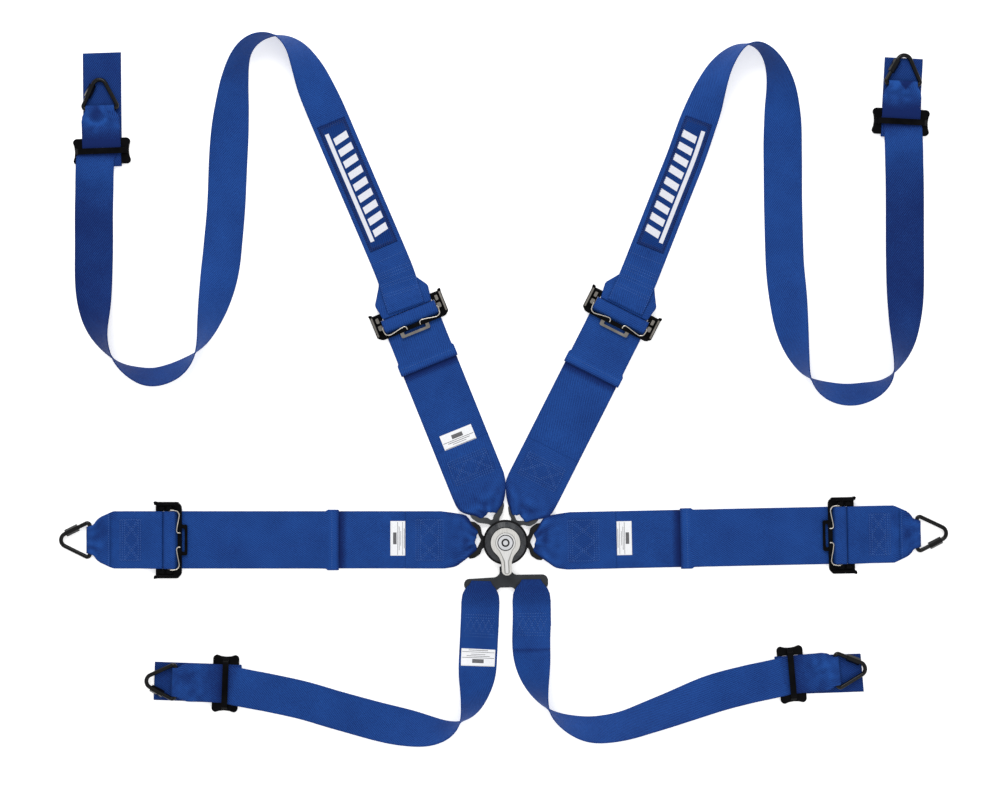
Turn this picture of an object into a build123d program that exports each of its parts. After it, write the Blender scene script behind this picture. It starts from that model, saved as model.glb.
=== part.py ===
"""Five-point lever-buckle racing harness laid out flat. Millimetres, +Z up, floor at Z 0.

The origin is under the buckle's turning axis. +X is the wearer's right-hand strap end, +Y is up the chest.
"""
import os
from math import cos, radians, sin

from build123d import *

os.makedirs("parts", exist_ok=True)

# Webbing
WEB = 1.4
W2 = 50.8
W3 = 76.2
GAP = 0.35

# Buckle
BODY_R = 29.5
BASE_TOP = 3.0
SHELL_TOP = 17.1
SHELL_ROOF = 15.1
CAVITY_R = 26.5
TONGUE_Z = 3.5
TONGUE_T = 2.4
BLADE_W = 13.0
PIN_RING_R = 16.0
PIN_R = 2.25
PLATE_Z = 11.2
POST_R = 5.2
SPINDLE_R = 3.0
BOSS_ANGLES = (90, 225, 315)
BOSS_RING_R = 22.5
BLADE_ANGLES = (0, 62, 119, 180, 271)
LEVER_TURN = -87

# Quick links
ROD_R = 2.75
BASE_HALF = 24.5
ARMS_MEET = 49.6
BOW_R = 9.0
LINK_LENGTH = 41.0
SLEEVE_LENGTH = 18.0
SLEEVE_FLATS = 8.5
LINK_HIGH = 6.05
LINK_LOW = 4.5
WRAP_R = ROD_R + GAP + WEB / 2

# Straps: where the tongue's bar lies, and the strap's heading in degrees from +X
SHOULDER_LEFT = (-24, 44.4, 112)
SHOULDER_RIGHT = (21.3, 40.3, 63.2)
LAP_LEFT = (-46, 2.7, 180)
LAP_RIGHT = (46, 0.6, 1.2)
ADJUSTER_LEFT = 273
ADJUSTER_RIGHT = 290
ADJUSTER_LAP = 398

# Anchor ends: slide centre, heading, webbing reach past the slide, tail length
ANCHOR_SHOULDER_LEFT = (-536, 519, 92, 61, 131)
ANCHOR_SHOULDER_RIGHT = (525, 558, 87, 54.5, 85)
ANCHOR_CROTCH_LEFT = (-372, -188, 178, 71, 95)
ANCHOR_CROTCH_RIGHT = (380, -176, 5, 64, 94)
LEAD = 62

# Twisted runs: (x, y, heading, tilt) of the webbing's centre line; a tilt of 90 stands on edge
LOOP_LEFT = (
    (-149, 363, 113, 0),
    (-223, 536, 113, 0),
    (-252, 603, 115, 21),
    (-263, 630, 122, 41),
    (-279, 657, 140, 63),
    (-298, 670, 163, 80),
    (-315, 671, 184, 90),
    (-341, 658, 225, 102),
    (-350, 642, 243, 112),
    (-356, 618, 256, 125),
    (-362, 574, 262, 145),
    (-367, 525, 265, 168),
    (-371, 450, 267, 180),
    (-376, 388, 266, 176),
    (-380, 348, 263, 155),
    (-385, 320, 259, 138),
    (-391, 295, 254, 122),
    (-404, 258, 238, 92),
    (-418, 240, 213, 70),
    (-440, 225, 194, 59),
    (-467, 218, 178, 59),
    (-493, 226, 156, 74),
    (-512, 237, 138, 90),
    (-530, 261, 120, 111),
    (-539, 282, 108, 132),
    (-544, 308, 98, 154),
    (-547, 345, 92, 174),
    (-547, 390, 90, 180),
    (-546, 430, 90, 180),
)
LOOP_RIGHT = (
    (176, 350, 68, 0),
    (236, 501, 68, 0),
    (262, 574, 68, 21),
    (271, 601, 64, 40),
    (283, 628, 56, 54),
    (302, 651, 40, 70),
    (318, 660, 14, 82),
    (332, 659, 345, 90),
    (349, 643, 308, 103),
    (359, 622, 291, 118),
    (364, 600, 283, 133),
    (366, 574, 277, 149),
    (368, 520, 272, 172),
    (369, 450, 271, 180),
    (371, 375, 272, 180),
    (375, 322, 275, 160),
    (378, 290, 278, 145),
    (382, 266, 282, 131),
    (389, 242, 291, 112),
    (399, 219, 306, 90),
    (409, 210, 319, 73),
    (427, 200, 341, 59),
    (454, 195, 0, 54),
    (484, 202, 20, 63),
    (496, 207, 32, 75),
    (508, 218, 48, 90),
    (518, 238, 65, 112),
    (525, 262, 75, 135),
    (529, 295, 84, 155),
    (531, 345, 90, 176),
    (531, 400, 90, 180),
    (530, 470, 90, 180),
)
CROTCH_LEFT_RUN = (
    (-34, -98, 268, 0),
    (-37, -166, 268, 0),
    (-38, -184, 265, 28),
    (-41, -202, 259, 43),
    (-46, -219, 249, 58),
    (-52, -230, 234, 70),
    (-60, -239, 216, 90),
    (-78, -247, 196, 112),
    (-100, -249, 182, 134),
    (-127, -246, 173, 152),
    (-167, -239, 167, 172),
    (-220, -225, 165, 180),
    (-280, -209, 167, 180),
)
CROTCH_RIGHT_RUN = (
    (35, -98, 271, 0),
    (34, -137, 271, 4),
    (37, -170, 277, 32),
    (41, -188, 284, 50),
    (48, -207, 297, 71),
    (57, -222, 313, 90),
    (72, -233, 331, 101),
    (89, -241, 343, 114),
    (112, -247, 356, 126),
    (152, -243, 11, 130),
    (192, -230, 18, 138),
    (240, -213, 20, 150),
    (290, -197, 15, 170),
)


def side_plane(x, y, heading):
    """Upright plane through (x, y), its x axis along heading and its y axis up."""
    a = radians(heading)
    return Plane(origin=(x, y, 0), x_dir=(cos(a), sin(a), 0), z_dir=(sin(a), -cos(a), 0))


def top_plane(x, y, heading, z=0.0):
    """Level plane at height z, its x axis along heading."""
    a = radians(heading)
    return Plane(origin=(x, y, z), x_dir=(cos(a), sin(a), 0), z_dir=(0, 0, 1))


def along(x, y, heading, u, v=0.0):
    """The point u along the heading and v to its left."""
    a = radians(heading)
    return x + u * cos(a) - v * sin(a), y + u * sin(a) + v * cos(a)


def section_plane(x, y, heading, tilt, side):
    """Plane across the webbing, with its lower edge on the floor."""
    a = radians(heading)
    t = radians(tilt)
    across = (sin(a) * cos(t), -cos(a) * cos(t), -side * sin(t))
    height = abs(sin(t)) * W2 / 2 + abs(cos(t)) * WEB / 2
    return Plane(origin=(x, y, height), x_dir=across, z_dir=(cos(a), sin(a), 0))


def twisted_run(stations, side, anchor):
    """Webbing that stands on edge where it turns and ends flat, in line with its anchor end."""
    sections = []
    last = (*along(*anchor[:3], -LEAD), anchor[2], 180)
    for x, y, heading, tilt in (*stations, last):
        with BuildSketch(section_plane(x, y, heading, tilt, side)) as section:
            Rectangle(W2, WEB)
        sections.append(section.sketch)
    loft(sections, ruled=True)


def trim_ends(plane, half_wide, half_narrow, start, end, stop, depth):
    """Cut both edges of the webbing so that it narrows from start to end."""
    with BuildSketch(plane) as edges_off:
        for s in (1, -1):
            with BuildLine():
                Polyline(
                    (start, s * (half_wide + 0.05)),
                    (end, s * half_narrow),
                    (stop, s * half_narrow),
                    (stop, s * (half_wide + 8)),
                    (start, s * (half_wide + 8)),
                    close=True,
                )
            make_face()
    extrude(edges_off.sketch, amount=depth, mode=Mode.SUBTRACT)


def anchor_end(x, y, heading, reach, tail):
    """Over the slide, round the link's bar, back under itself, round the slide's bar and out as the tail."""
    bar = reach - WRAP_R - WEB / 2
    low = LINK_HIGH - WRAP_R
    high = LINK_HIGH + WRAP_R
    with BuildSketch(side_plane(x, y, heading)) as profile:
        with BuildLine():
            Polyline((-LEAD, 0.7), (-54, 0.7), (-29, 6.85), (34, 6.85), (bar - 3, high), (bar, high))
            ThreePointArc((bar, high), (bar + WRAP_R, LINK_HIGH), (bar, low))
            Polyline((bar, low), (bar - 3, low), (34, 5.35), (-17.7, 5.35))
            ThreePointArc((-17.7, 5.35), (-20.025, 3.025), (-17.7, 0.7))
            Line((-17.7, 0.7), (tail, 0.7))
        trace(line_width=WEB)
    extrude(profile.sketch, amount=W2 / 2, both=True)
    plane = top_plane(x, y, heading, WEB + 0.02)
    trim_ends(plane, W2 / 2, 18.7, bar - 17, bar - 3.6, bar + 6, 12)


# ---------------------------------------------------------------- buckle
with BuildPart() as buckle_base:
    with BuildSketch(Plane.XY):
        Circle(BODY_R)
    extrude(amount=BASE_TOP)
    with BuildSketch(Plane.XY.offset(1.2)):
        for angle in BLADE_ANGLES:
            with Locations(along(0, 0, angle, PIN_RING_R)):
                Circle(PIN_R + 0.35)
    extrude(amount=BASE_TOP, mode=Mode.SUBTRACT)
    with BuildSketch(Plane.XY):
        for angle in BOSS_ANGLES:
            with Locations(along(0, 0, angle, BOSS_RING_R)):
                Circle(1.6)
    extrude(amount=BASE_TOP, mode=Mode.SUBTRACT)
    with BuildSketch(Plane.XY):
        for angle in BOSS_ANGLES:
            with Locations(along(0, 0, angle, BOSS_RING_R)):
                Circle(2.9)
    extrude(amount=1.6, mode=Mode.SUBTRACT)
buckle_base.part.label = "buckle_base"

with BuildPart() as pivot_post:
    with BuildSketch(Plane.XY.offset(BASE_TOP)):
        Circle(POST_R)
    extrude(amount=13.3 - BASE_TOP)
    with BuildSketch(Plane.XY.offset(13.3)):
        Circle(SPINDLE_R)
    extrude(amount=7.0)
pivot_post.part.label = "pivot_post"

with BuildPart() as buckle_housing:
    with BuildSketch(Plane.XY.offset(BASE_TOP)):
        Circle(BODY_R)
    extrude(amount=SHELL_TOP - BASE_TOP)
    top_edge = buckle_housing.edges().sort_by(Axis.Z)[-1]
    chamfer(top_edge, length=4.0, length2=5.5)
    with BuildSketch(Plane.XY.offset(BASE_TOP)):
        Circle(CAVITY_R)
    extrude(amount=9.0, mode=Mode.SUBTRACT)
    with BuildSketch(Plane.XY.offset(BASE_TOP + 9.0)):
        Circle(21.0)
    extrude(amount=SHELL_ROOF - BASE_TOP - 9.0, mode=Mode.SUBTRACT)
    with BuildSketch(Plane.XY.offset(SHELL_ROOF)):
        Circle(7.1)
    extrude(amount=3.0, mode=Mode.SUBTRACT)
    for angle in BOSS_ANGLES:
        with BuildSketch(top_plane(0, 0, angle, BASE_TOP)):
            with Locations((BOSS_RING_R, 0)):
                Circle(3.6)
            with Locations((BOSS_RING_R + 3.0, 0)):
                Rectangle(6.0, 5.0)
        extrude(amount=9.2)
        with BuildSketch(top_plane(0, 0, angle, BASE_TOP)):
            with Locations((BOSS_RING_R, 0)):
                Circle(1.5)
        extrude(amount=7.0, mode=Mode.SUBTRACT)
    for angle in BLADE_ANGLES:
        with BuildSketch(top_plane(0, 0, angle, BASE_TOP)):
            with Locations((BODY_R - 2, 0)):
                Rectangle(10, BLADE_W + 0.8)
        extrude(amount=3.4, mode=Mode.SUBTRACT)
buckle_housing.part.label = "buckle_housing"

with BuildPart() as buckle_screws:
    for angle in BOSS_ANGLES:
        with BuildSketch(top_plane(0, 0, angle, 0.2)):
            with Locations((BOSS_RING_R, 0)):
                Circle(2.7)
        extrude(amount=1.35)
        with BuildSketch(top_plane(0, 0, angle, 1.5)):
            with Locations((BOSS_RING_R, 0)):
                Circle(1.45)
        extrude(amount=7.0)
        with BuildSketch(top_plane(0, 0, angle, 0.2)):
            with Locations((BOSS_RING_R, 0)):
                RegularPolygon(radius=1.2, side_count=6)
        extrude(amount=0.9, mode=Mode.SUBTRACT)
buckle_screws.part.label = "buckle_screws"

with BuildPart() as lock_plate:
    with BuildSketch(Plane.XY.offset(PLATE_Z)):
        Circle(18.6)
        Circle(POST_R + 0.08, mode=Mode.SUBTRACT)
    extrude(amount=1.8)
    with BuildSketch(Plane.XY.offset(PLATE_Z)):
        for angle in BLADE_ANGLES:
            with Locations(along(0, 0, angle, PIN_RING_R)):
                Circle(PIN_R)
    extrude(amount=-(PLATE_Z - 6.4))
lock_plate.part.label = "lock_plate"

with BuildPart() as plate_spring:
    with BuildLine():
        coil = Helix(pitch=0.9, height=1.2, radius=15.5, center=(0, 0, 13.45))
    with BuildSketch(Plane(origin=coil @ 0, z_dir=coil % 0)):
        Circle(0.35)
    sweep()
plate_spring.part.label = "plate_spring"

with BuildPart() as cam_disc:
    with BuildSketch(Plane.XY.offset(13.4)):
        Circle(12.0)
        with Locations((12, 0), (-12, 0)):
            Circle(3.0, mode=Mode.SUBTRACT)
        Circle(SPINDLE_R + 0.05, mode=Mode.SUBTRACT)
    extrude(amount=1.55)
cam_disc.part.label = "cam_disc"

with BuildPart() as release_lever:
    with BuildSketch(Plane.XY.offset(15.0)):
        Circle(7.0)
    extrude(amount=2.4)
    with BuildSketch(Plane.XY.offset(17.4)):
        Circle(19.5)
    extrude(amount=2.8)
    rim = release_lever.edges().sort_by(Axis.Z)[-1]
    fillet(rim, 1.6)
    with BuildSketch(top_plane(0, 0, LEVER_TURN, 17.6)):
        with Locations((27, 0)):
            Rectangle(24, 14.5)
        with Locations((36, 0)):
            Circle(7.25)
    extrude(amount=4.2)
    with BuildSketch(top_plane(0, 0, LEVER_TURN, 17.6)):
        with Locations((22, 0)):
            Rectangle(14, 14.5)
    extrude(amount=2.2)
    with BuildSketch(Plane.XY.offset(15.0)):
        Circle(SPINDLE_R + 0.05)
    extrude(amount=9.0, mode=Mode.SUBTRACT)
release_lever.part.label = "release_lever"

with BuildPart() as lever_cap:
    with BuildSketch(Plane.XY.offset(20.4)):
        Circle(10.85)
    extrude(amount=2.0)
    cap_rim = lever_cap.edges().sort_by(Axis.Z)[-1]
    fillet(cap_rim, 0.8)
lever_cap.part.label = "lever_cap"


# ---------------------------------------------------------------- tongues
def blade(angle):
    """The tongue's blade, with the hole that its pin drops through."""
    with BuildSketch(top_plane(0, 0, angle, TONGUE_Z)) as outline:
        with Locations((PIN_RING_R + 8.5, 0)):
            Rectangle(17, BLADE_W)
        with Locations((PIN_RING_R, 0)):
            Circle(BLADE_W / 2)
    extrude(outline.sketch, amount=TONGUE_T)


def fork(x, y, heading, angle, half):
    """The two legs and the bar that the webbing goes round."""
    root_r = 31.0
    left = along(0, 0, angle, root_r, BLADE_W / 2)
    right = along(0, 0, angle, root_r, -BLADE_W / 2)
    end_left = along(x, y, heading, 3.2, half + 5)
    end_right = along(x, y, heading, 3.2, -half - 5)
    with BuildSketch(Plane.XY.offset(TONGUE_Z)) as outline:
        with BuildLine():
            Polyline(
                left,
                along(x, y, heading, -4, half + 4),
                end_left,
                end_right,
                along(x, y, heading, -4, -half - 4),
                right,
                close=True,
            )
        make_face()
    extrude(outline.sketch, amount=TONGUE_T)


def tongue_cuts(x, y, heading, angle, half):
    """The window between the legs and the bar, and the pin's hole."""
    with BuildSketch(Plane.XY.offset(TONGUE_Z)) as openings:
        with BuildLine():
            Polyline(
                along(0, 0, angle, 34.5, 2.0),
                along(x, y, heading, -3.2, half),
                along(x, y, heading, -3.2, -half),
                along(0, 0, angle, 34.5, -2.0),
                close=True,
            )
        make_face()
        with Locations(along(0, 0, angle, PIN_RING_R)):
            Circle(PIN_R + 0.4)
    extrude(openings.sketch, amount=TONGUE_T, mode=Mode.SUBTRACT)


def tongue(place, angle, half):
    """One Y-shaped tongue."""
    with BuildPart() as made:
        blade(angle)
        fork(*place, angle, half)
        tongue_cuts(*place, angle, half)
    return made.part


shoulder_tongue_left = tongue(SHOULDER_LEFT, BLADE_ANGLES[2], 19.5)
shoulder_tongue_right = tongue(SHOULDER_RIGHT, BLADE_ANGLES[1], 19.5)
lap_tongue_left = tongue(LAP_LEFT, BLADE_ANGLES[3], 20.5)
lap_tongue_right = tongue(LAP_RIGHT, BLADE_ANGLES[0], 20.5)

with BuildPart() as crotch_tongue:
    blade(BLADE_ANGLES[4])
    with BuildSketch(top_plane(0, 0, BLADE_ANGLES[4], TONGUE_Z)):
        with Locations((38, 0)):
            Rectangle(16, 20)
        with Locations((52.5, 0)):
            RectangleRounded(17, 110, 7)
        with Locations((60, 0)):
            RectangleRounded(10, 88, 4)
        for s in (1, -1):
            with Locations((53.8, s * 34)):
                RectangleRounded(5, 33, 2, mode=Mode.SUBTRACT)
    extrude(amount=TONGUE_T)
    with BuildSketch(top_plane(0, 0, BLADE_ANGLES[4], TONGUE_Z)):
        with Locations((PIN_RING_R, 0)):
            Circle(PIN_R + 0.4)
    extrude(amount=TONGUE_T, mode=Mode.SUBTRACT)


# ---------------------------------------------------------------- belts
def belt(place, adjuster, hem, overlap):
    """Three-inch belt: hem, tail, round the lock bar, back to the tongue, and sewn on itself."""
    x, y, heading = place
    a = adjuster
    with BuildPart() as made:
        with BuildSketch(side_plane(x, y, heading)):
            with BuildLine():
                Polyline((hem, 2.2), (a - 6.4, 2.2), (a - 4.75, 5.75))
                ThreePointArc((a - 4.75, 5.75), (a - 3.27, 9.32), (a + 0.3, 10.8))
                Line((a + 0.3, 10.8), (a + 4.7, 10.8))
                ThreePointArc((a + 4.7, 10.8), (a + 9.75, 5.75), (a + 4.7, 0.7))
                Polyline((a + 4.7, 0.7), (34, 0.7), (14, 2.4), (-4.2, 2.4), (-4.2, 7.0))
                Polyline((-4.2, 7.0), (14, 7.0), (38, 2.2), (overlap, 2.2))
            trace(line_width=WEB)
        extrude(amount=W3 / 2, both=True)
        with BuildSketch(side_plane(x, y, heading)):
            with Locations((hem + 4, 3.6)):
                Rectangle(8, 1.4)
        extrude(amount=W3 / 2, both=True)
        with BuildSketch(top_plane(x, y, heading)):
            for s in (1, -1):
                with BuildLine():
                    Polyline(
                        (48, s * (W3 / 2 + 0.05)),
                        (26, s * 36),
                        (13, s * 29),
                        (5, s * 20),
                        (-2, s * 15),
                        (-8, s * 15),
                        (-8, s * 50),
                        (48, s * 50),
                        close=True,
                    )
                make_face()
        extrude(amount=12, mode=Mode.SUBTRACT)
    return made.part


lap_belt_left = belt(LAP_LEFT, ADJUSTER_LAP, 176, 87)
lap_belt_right = belt(LAP_RIGHT, ADJUSTER_LAP - 1, 187, 101)
shoulder_belt_left = belt(SHOULDER_LEFT, ADJUSTER_LEFT, 205, 88)
shoulder_belt_right = belt(SHOULDER_RIGHT, ADJUSTER_RIGHT, 205, 88)


def anchor_belt(place, adjuster, bar):
    """Band sewn between the adjuster's rear bar and the link's bar."""
    x, y, heading = place
    a = adjuster
    with BuildPart() as made:
        with BuildSketch(side_plane(x, y, heading)):
            with BuildLine():
                Polyline((bar, 0.7), (a + 36, 0.7), (a + 26, 2.35), (a + 14.45, 2.35), (a + 14.45, 7.45))
                Polyline((a + 14.45, 7.45), (a + 26, 7.45), (a + 40, 2.2), (bar - 16, 2.2))
                Polyline((bar - 16, 2.2), (bar - 3, 0.7 + 2 * WRAP_R), (bar, 0.7 + 2 * WRAP_R))
                ThreePointArc((bar, 0.7 + 2 * WRAP_R), (bar + WRAP_R, LINK_LOW), (bar, 0.7))
            trace(line_width=WEB)
        extrude(amount=W3 / 2, both=True)
        with BuildSketch(top_plane(x, y, heading)):
            for s in (1, -1):
                with BuildLine():
                    Polyline(
                        (bar - 38, s * (W3 / 2 + 0.05)),
                        (bar - 25, s * 36),
                        (bar - 4, s * 18.7),
                        (bar + 8, s * 18.7),
                        (bar + 8, s * 50),
                        (bar - 38, s * 50),
                        close=True,
                    )
                make_face()
        extrude(amount=14, mode=Mode.SUBTRACT)
    return made.part


LAP_BAR_LEFT = 506
LAP_BAR_RIGHT = 501
lap_anchor_left = anchor_belt(LAP_LEFT, ADJUSTER_LAP, LAP_BAR_LEFT)
lap_anchor_right = anchor_belt(LAP_RIGHT, ADJUSTER_LAP - 1, LAP_BAR_RIGHT)


# ---------------------------------------------------------------- shoulder and crotch webbing
def upper_strap(place, adjuster, run, anchor, side):
    """Two-inch strap: sewn round the adjuster's rear bar, then the standing loop and the anchor end."""
    x, y, heading = place
    a = adjuster
    first = run[0]
    joint_x, joint_y = along(first[0], first[1], first[2], -30)
    with BuildPart() as made:
        with BuildSketch(side_plane(x, y, heading)):
            with BuildLine():
                Polyline((a + 62, 0.7), (a + 36, 0.7), (a + 26, 2.35), (a + 14.45, 2.35), (a + 14.45, 7.45))
                Polyline((a + 14.45, 7.45), (a + 26, 7.45), (a + 38, 2.2), (a + 66, 2.2))
            trace(line_width=WEB)
        extrude(amount=31.5, both=True)
        with BuildSketch(top_plane(x, y, heading)):
            for s in (1, -1):
                with BuildLine():
                    Polyline(
                        (a + 22, s * 31.6),
                        (a + 40, s * W2 / 2),
                        (a + 70, s * W2 / 2),
                        (a + 70, s * 36),
                        (a + 22, s * 36),
                        close=True,
                    )
                make_face()
        extrude(amount=12, mode=Mode.SUBTRACT)
        with BuildSketch(side_plane(joint_x, joint_y, first[2])):
            with BuildLine():
                Polyline((-4, 2.2), (10, 2.2), (24, 0.7), (30, 0.7))
            trace(line_width=WEB)
        extrude(amount=W2 / 2, both=True)
        twisted_run(run, side, anchor)
        anchor_end(*anchor)
    return made.part


shoulder_strap_left = upper_strap(SHOULDER_LEFT, ADJUSTER_LEFT, LOOP_LEFT, ANCHOR_SHOULDER_LEFT, 1)
shoulder_strap_right = upper_strap(SHOULDER_RIGHT, ADJUSTER_RIGHT, LOOP_RIGHT, ANCHOR_SHOULDER_RIGHT, -1)


def crotch_strap(run, anchor, side):
    """Two-inch strap sewn round the crotch tongue's bar, turned outwards and threaded at its anchor."""
    x, y, heading = run[0][:3]
    with BuildPart() as made:
        with BuildSketch(side_plane(x, y, heading)):
            with BuildLine():
                Polyline((0, 0.7), (-18, 0.7), (-28, 2.4), (-43.7, 2.4), (-43.7, 7.0))
                Polyline((-43.7, 7.0), (-28, 7.0), (-12, 2.2), (12, 2.2))
            trace(line_width=WEB)
        extrude(amount=W2 / 2, both=True)
        trim_ends(top_plane(x, y, heading), W2 / 2, 15.3, -30, -38, -48, 12)
        twisted_run(run, side, anchor)
        anchor_end(*anchor)
    return made.part


crotch_strap_left = crotch_strap(CROTCH_LEFT_RUN, ANCHOR_CROTCH_LEFT, -1)
crotch_strap_right = crotch_strap(CROTCH_RIGHT_RUN, ANCHOR_CROTCH_RIGHT, 1)


# ---------------------------------------------------------------- adjusters
def adjuster_frame(place, at):
    """Pressed frame: front bar with its thumb tab, rear bar, side rails and the lock bar's ears."""
    x, y = along(*place, at)
    heading = place[2]
    with BuildPart() as made:
        with BuildSketch(top_plane(x, y, heading, 3.4)):
            with Locations((3.0, 0)):
                RectangleRounded(34, 100, 5)
            with Locations((-16.75, 0)):
                RectangleRounded(9.5, 41, 2)
            with Locations((-16.5, 0)):
                Rectangle(4.0, 27, mode=Mode.SUBTRACT)
            with Locations((3.25, 0)):
                Rectangle(24.5, 78.4, mode=Mode.SUBTRACT)
        extrude(amount=3.0)
        with BuildSketch(top_plane(x, y, heading, 5.0)):
            for s in (1, -1):
                with Locations((5.5, s * 48.75)):
                    Rectangle(29, 2.5)
        extrude(amount=5.5)
        for s in (1, -1):
            with BuildSketch(top_plane(x, y, heading, 0.3)):
                with Locations((3.25, s * 40.45)):
                    Rectangle(24.5, 2.5)
            extrude(amount=11.0)
        with BuildSketch(side_plane(x, y, heading)):
            with Locations((2.3, 5.75)):
                Rectangle(4.0 + 5.2, 5.2)
        extrude(amount=42.2, both=True, mode=Mode.SUBTRACT)
    return made.part


def lock_bar(place, at):
    """Bar that grips the webbing; its journals ride in the frame's ears."""
    x, y = along(*place, at)
    heading = place[2]
    with BuildPart() as made:
        with BuildSketch(side_plane(x, y, heading)):
            with Locations((0.3, 5.75)):
                Circle(4.0)
        extrude(amount=38.9, both=True)
        with BuildSketch(side_plane(x, y, heading)):
            with Locations((0.3, 5.75)):
                Circle(2.5)
        extrude(amount=41.6, both=True)
    return made.part


def bar_springs(place, at):
    """Wire spring each side, from the ear along the front bar to the tab."""
    x, y = along(*place, at)
    heading = place[2]
    with BuildPart() as made:
        for s in (1, -1):
            with BuildLine(top_plane(x, y, heading, 6.95)):
                wire = FilletPolyline(
                    (-5, s * 38.65),
                    (-10.5, s * 38.65),
                    (-9.8, s * 28),
                    (-7.2, s * 15),
                    (-8.5, s * 10),
                    (-12.6, s * 10),
                    radius=1.2,
                )
            with BuildSketch(Plane(origin=wire @ 0, z_dir=wire % 0)):
                Circle(0.5)
            sweep()
    return made.part


# ---------------------------------------------------------------- anchor hardware
def slide_frame(x, y, heading):
    """Three-bar slide with its middle bar raised over the webbing."""
    with BuildPart() as made:
        with BuildSketch(top_plane(x, y, heading, 1.8)):
            RectangleRounded(34, 75.5, 5)
            Rectangle(26, 53, mode=Mode.SUBTRACT)
        extrude(amount=2.5)
        with BuildSketch(top_plane(x, y, heading, 3.0)):
            for s in (1, -1):
                with Locations((0, s * 30)):
                    Rectangle(7.7, 6)
        extrude(amount=7.2)
        with BuildSketch(top_plane(x, y, heading, 7.9)):
            Rectangle(7.7, 66)
        extrude(amount=2.3)
    return made.part


def link_arm(x, y, heading, bar, arm):
    """Base corner and direction of a link's arm."""
    corner = along(x, y, heading, bar, arm * BASE_HALF)
    apex = along(x, y, heading, bar + ARMS_MEET)
    run = (apex[0] - corner[0], apex[1] - corner[1])
    length = (run[0] ** 2 + run[1] ** 2) ** 0.5
    return corner, apex, (run[0] / length, run[1] / length), length


GAP_NEAR = 26.0
GAP_FAR = 34.0
SLEEVE_AT = 26.4


def quick_link(x, y, heading, bar, arm, z):
    """Pear-shaped rod link with a gap in one arm."""
    corner, apex, unit, length = link_arm(x, y, heading, bar, arm)
    other = along(x, y, heading, bar, -arm * BASE_HALF)
    gap_far = (corner[0] + unit[0] * GAP_FAR, corner[1] + unit[1] * GAP_FAR, z)
    gap_near = (corner[0] + unit[0] * GAP_NEAR, corner[1] + unit[1] * GAP_NEAR, z)
    with BuildPart() as made:
        with BuildLine():
            rod = FilletPolyline(
                gap_near,
                (*corner, z),
                (*other, z),
                (*apex, z),
                gap_far,
                radius=[3.5, 3.5, BOW_R],
            )
        with BuildSketch(Plane(origin=rod @ 0, z_dir=rod % 0)):
            Circle(ROD_R)
        sweep()
    return made.part


def link_sleeve(x, y, heading, bar, arm, z):
    """Hexagonal sleeve that closes the link's gap."""
    corner, apex, unit, length = link_arm(x, y, heading, bar, arm)
    middle = (corner[0] + unit[0] * SLEEVE_AT, corner[1] + unit[1] * SLEEVE_AT, z)
    plane = Plane(origin=middle, x_dir=(-unit[1], unit[0], 0), z_dir=(unit[0], unit[1], 0))
    with BuildPart() as made:
        with BuildSketch(plane):
            RegularPolygon(radius=SLEEVE_FLATS / 2, side_count=6, major_radius=False, rotation=0)
            Circle(ROD_R + 0.06, mode=Mode.SUBTRACT)
        extrude(amount=SLEEVE_LENGTH / 2, both=True)
    return made.part


# ---------------------------------------------------------------- labels and patches
def flat_piece(x, y, heading, z, length, width, thick):
    """A thin rectangular piece sewn on a belt."""
    with BuildPart() as made:
        with BuildSketch(top_plane(x, y, heading, z)):
            Rectangle(length, width)
        extrude(amount=thick)
    return made.part


shoulder_label = flat_piece(*along(*SHOULDER_LEFT, 103), SHOULDER_LEFT[2], WEB + 0.02, 24, 45, 0.3)
lap_label_left = flat_piece(*along(*LAP_LEFT, 97, -2), 180, WEB + 0.02, 20, 46, 0.3)
lap_label_right = flat_piece(*along(*LAP_RIGHT, 112, 2), 1.2, WEB + 0.02, 20, 45, 0.3)
crotch_label = flat_piece(-37, -152, 268, WEB + 0.02, 23, 45, 0.3)
PATCH_LEFT = (-189, 459, 113)
PATCH_RIGHT = (211, 438, 68)
shoulder_patch_left = flat_piece(*PATCH_LEFT, WEB + 0.02, 150, 42, 0.5)
shoulder_patch_right = flat_piece(*PATCH_RIGHT, WEB + 0.02, 120, 42, 0.5)

NODES = {
    "shoulder_tongue_left": shoulder_tongue_left,
    "shoulder_tongue_right": shoulder_tongue_right,
    "lap_tongue_left": lap_tongue_left,
    "lap_tongue_right": lap_tongue_right,
    "lap_belt_left": lap_belt_left,
    "lap_belt_right": lap_belt_right,
    "shoulder_belt_left": shoulder_belt_left,
    "shoulder_belt_right": shoulder_belt_right,
    "lap_anchor_left": lap_anchor_left,
    "lap_anchor_right": lap_anchor_right,
    "shoulder_strap_left": shoulder_strap_left,
    "shoulder_strap_right": shoulder_strap_right,
    "crotch_strap_left": crotch_strap_left,
    "crotch_strap_right": crotch_strap_right,
    "shoulder_label": shoulder_label,
    "lap_label_left": lap_label_left,
    "lap_label_right": lap_label_right,
    "crotch_label": crotch_label,
    "shoulder_patch_left": shoulder_patch_left,
    "shoulder_patch_right": shoulder_patch_right,
}

for name, place, at in (
    ("shoulder_left", SHOULDER_LEFT, ADJUSTER_LEFT),
    ("shoulder_right", SHOULDER_RIGHT, ADJUSTER_RIGHT),
    ("lap_left", LAP_LEFT, ADJUSTER_LAP),
    ("lap_right", LAP_RIGHT, ADJUSTER_LAP - 1),
):
    NODES["adjuster_frame_" + name] = adjuster_frame(place, at)
    NODES["lock_bar_" + name] = lock_bar(place, at)
    NODES["bar_springs_" + name] = bar_springs(place, at)

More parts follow.
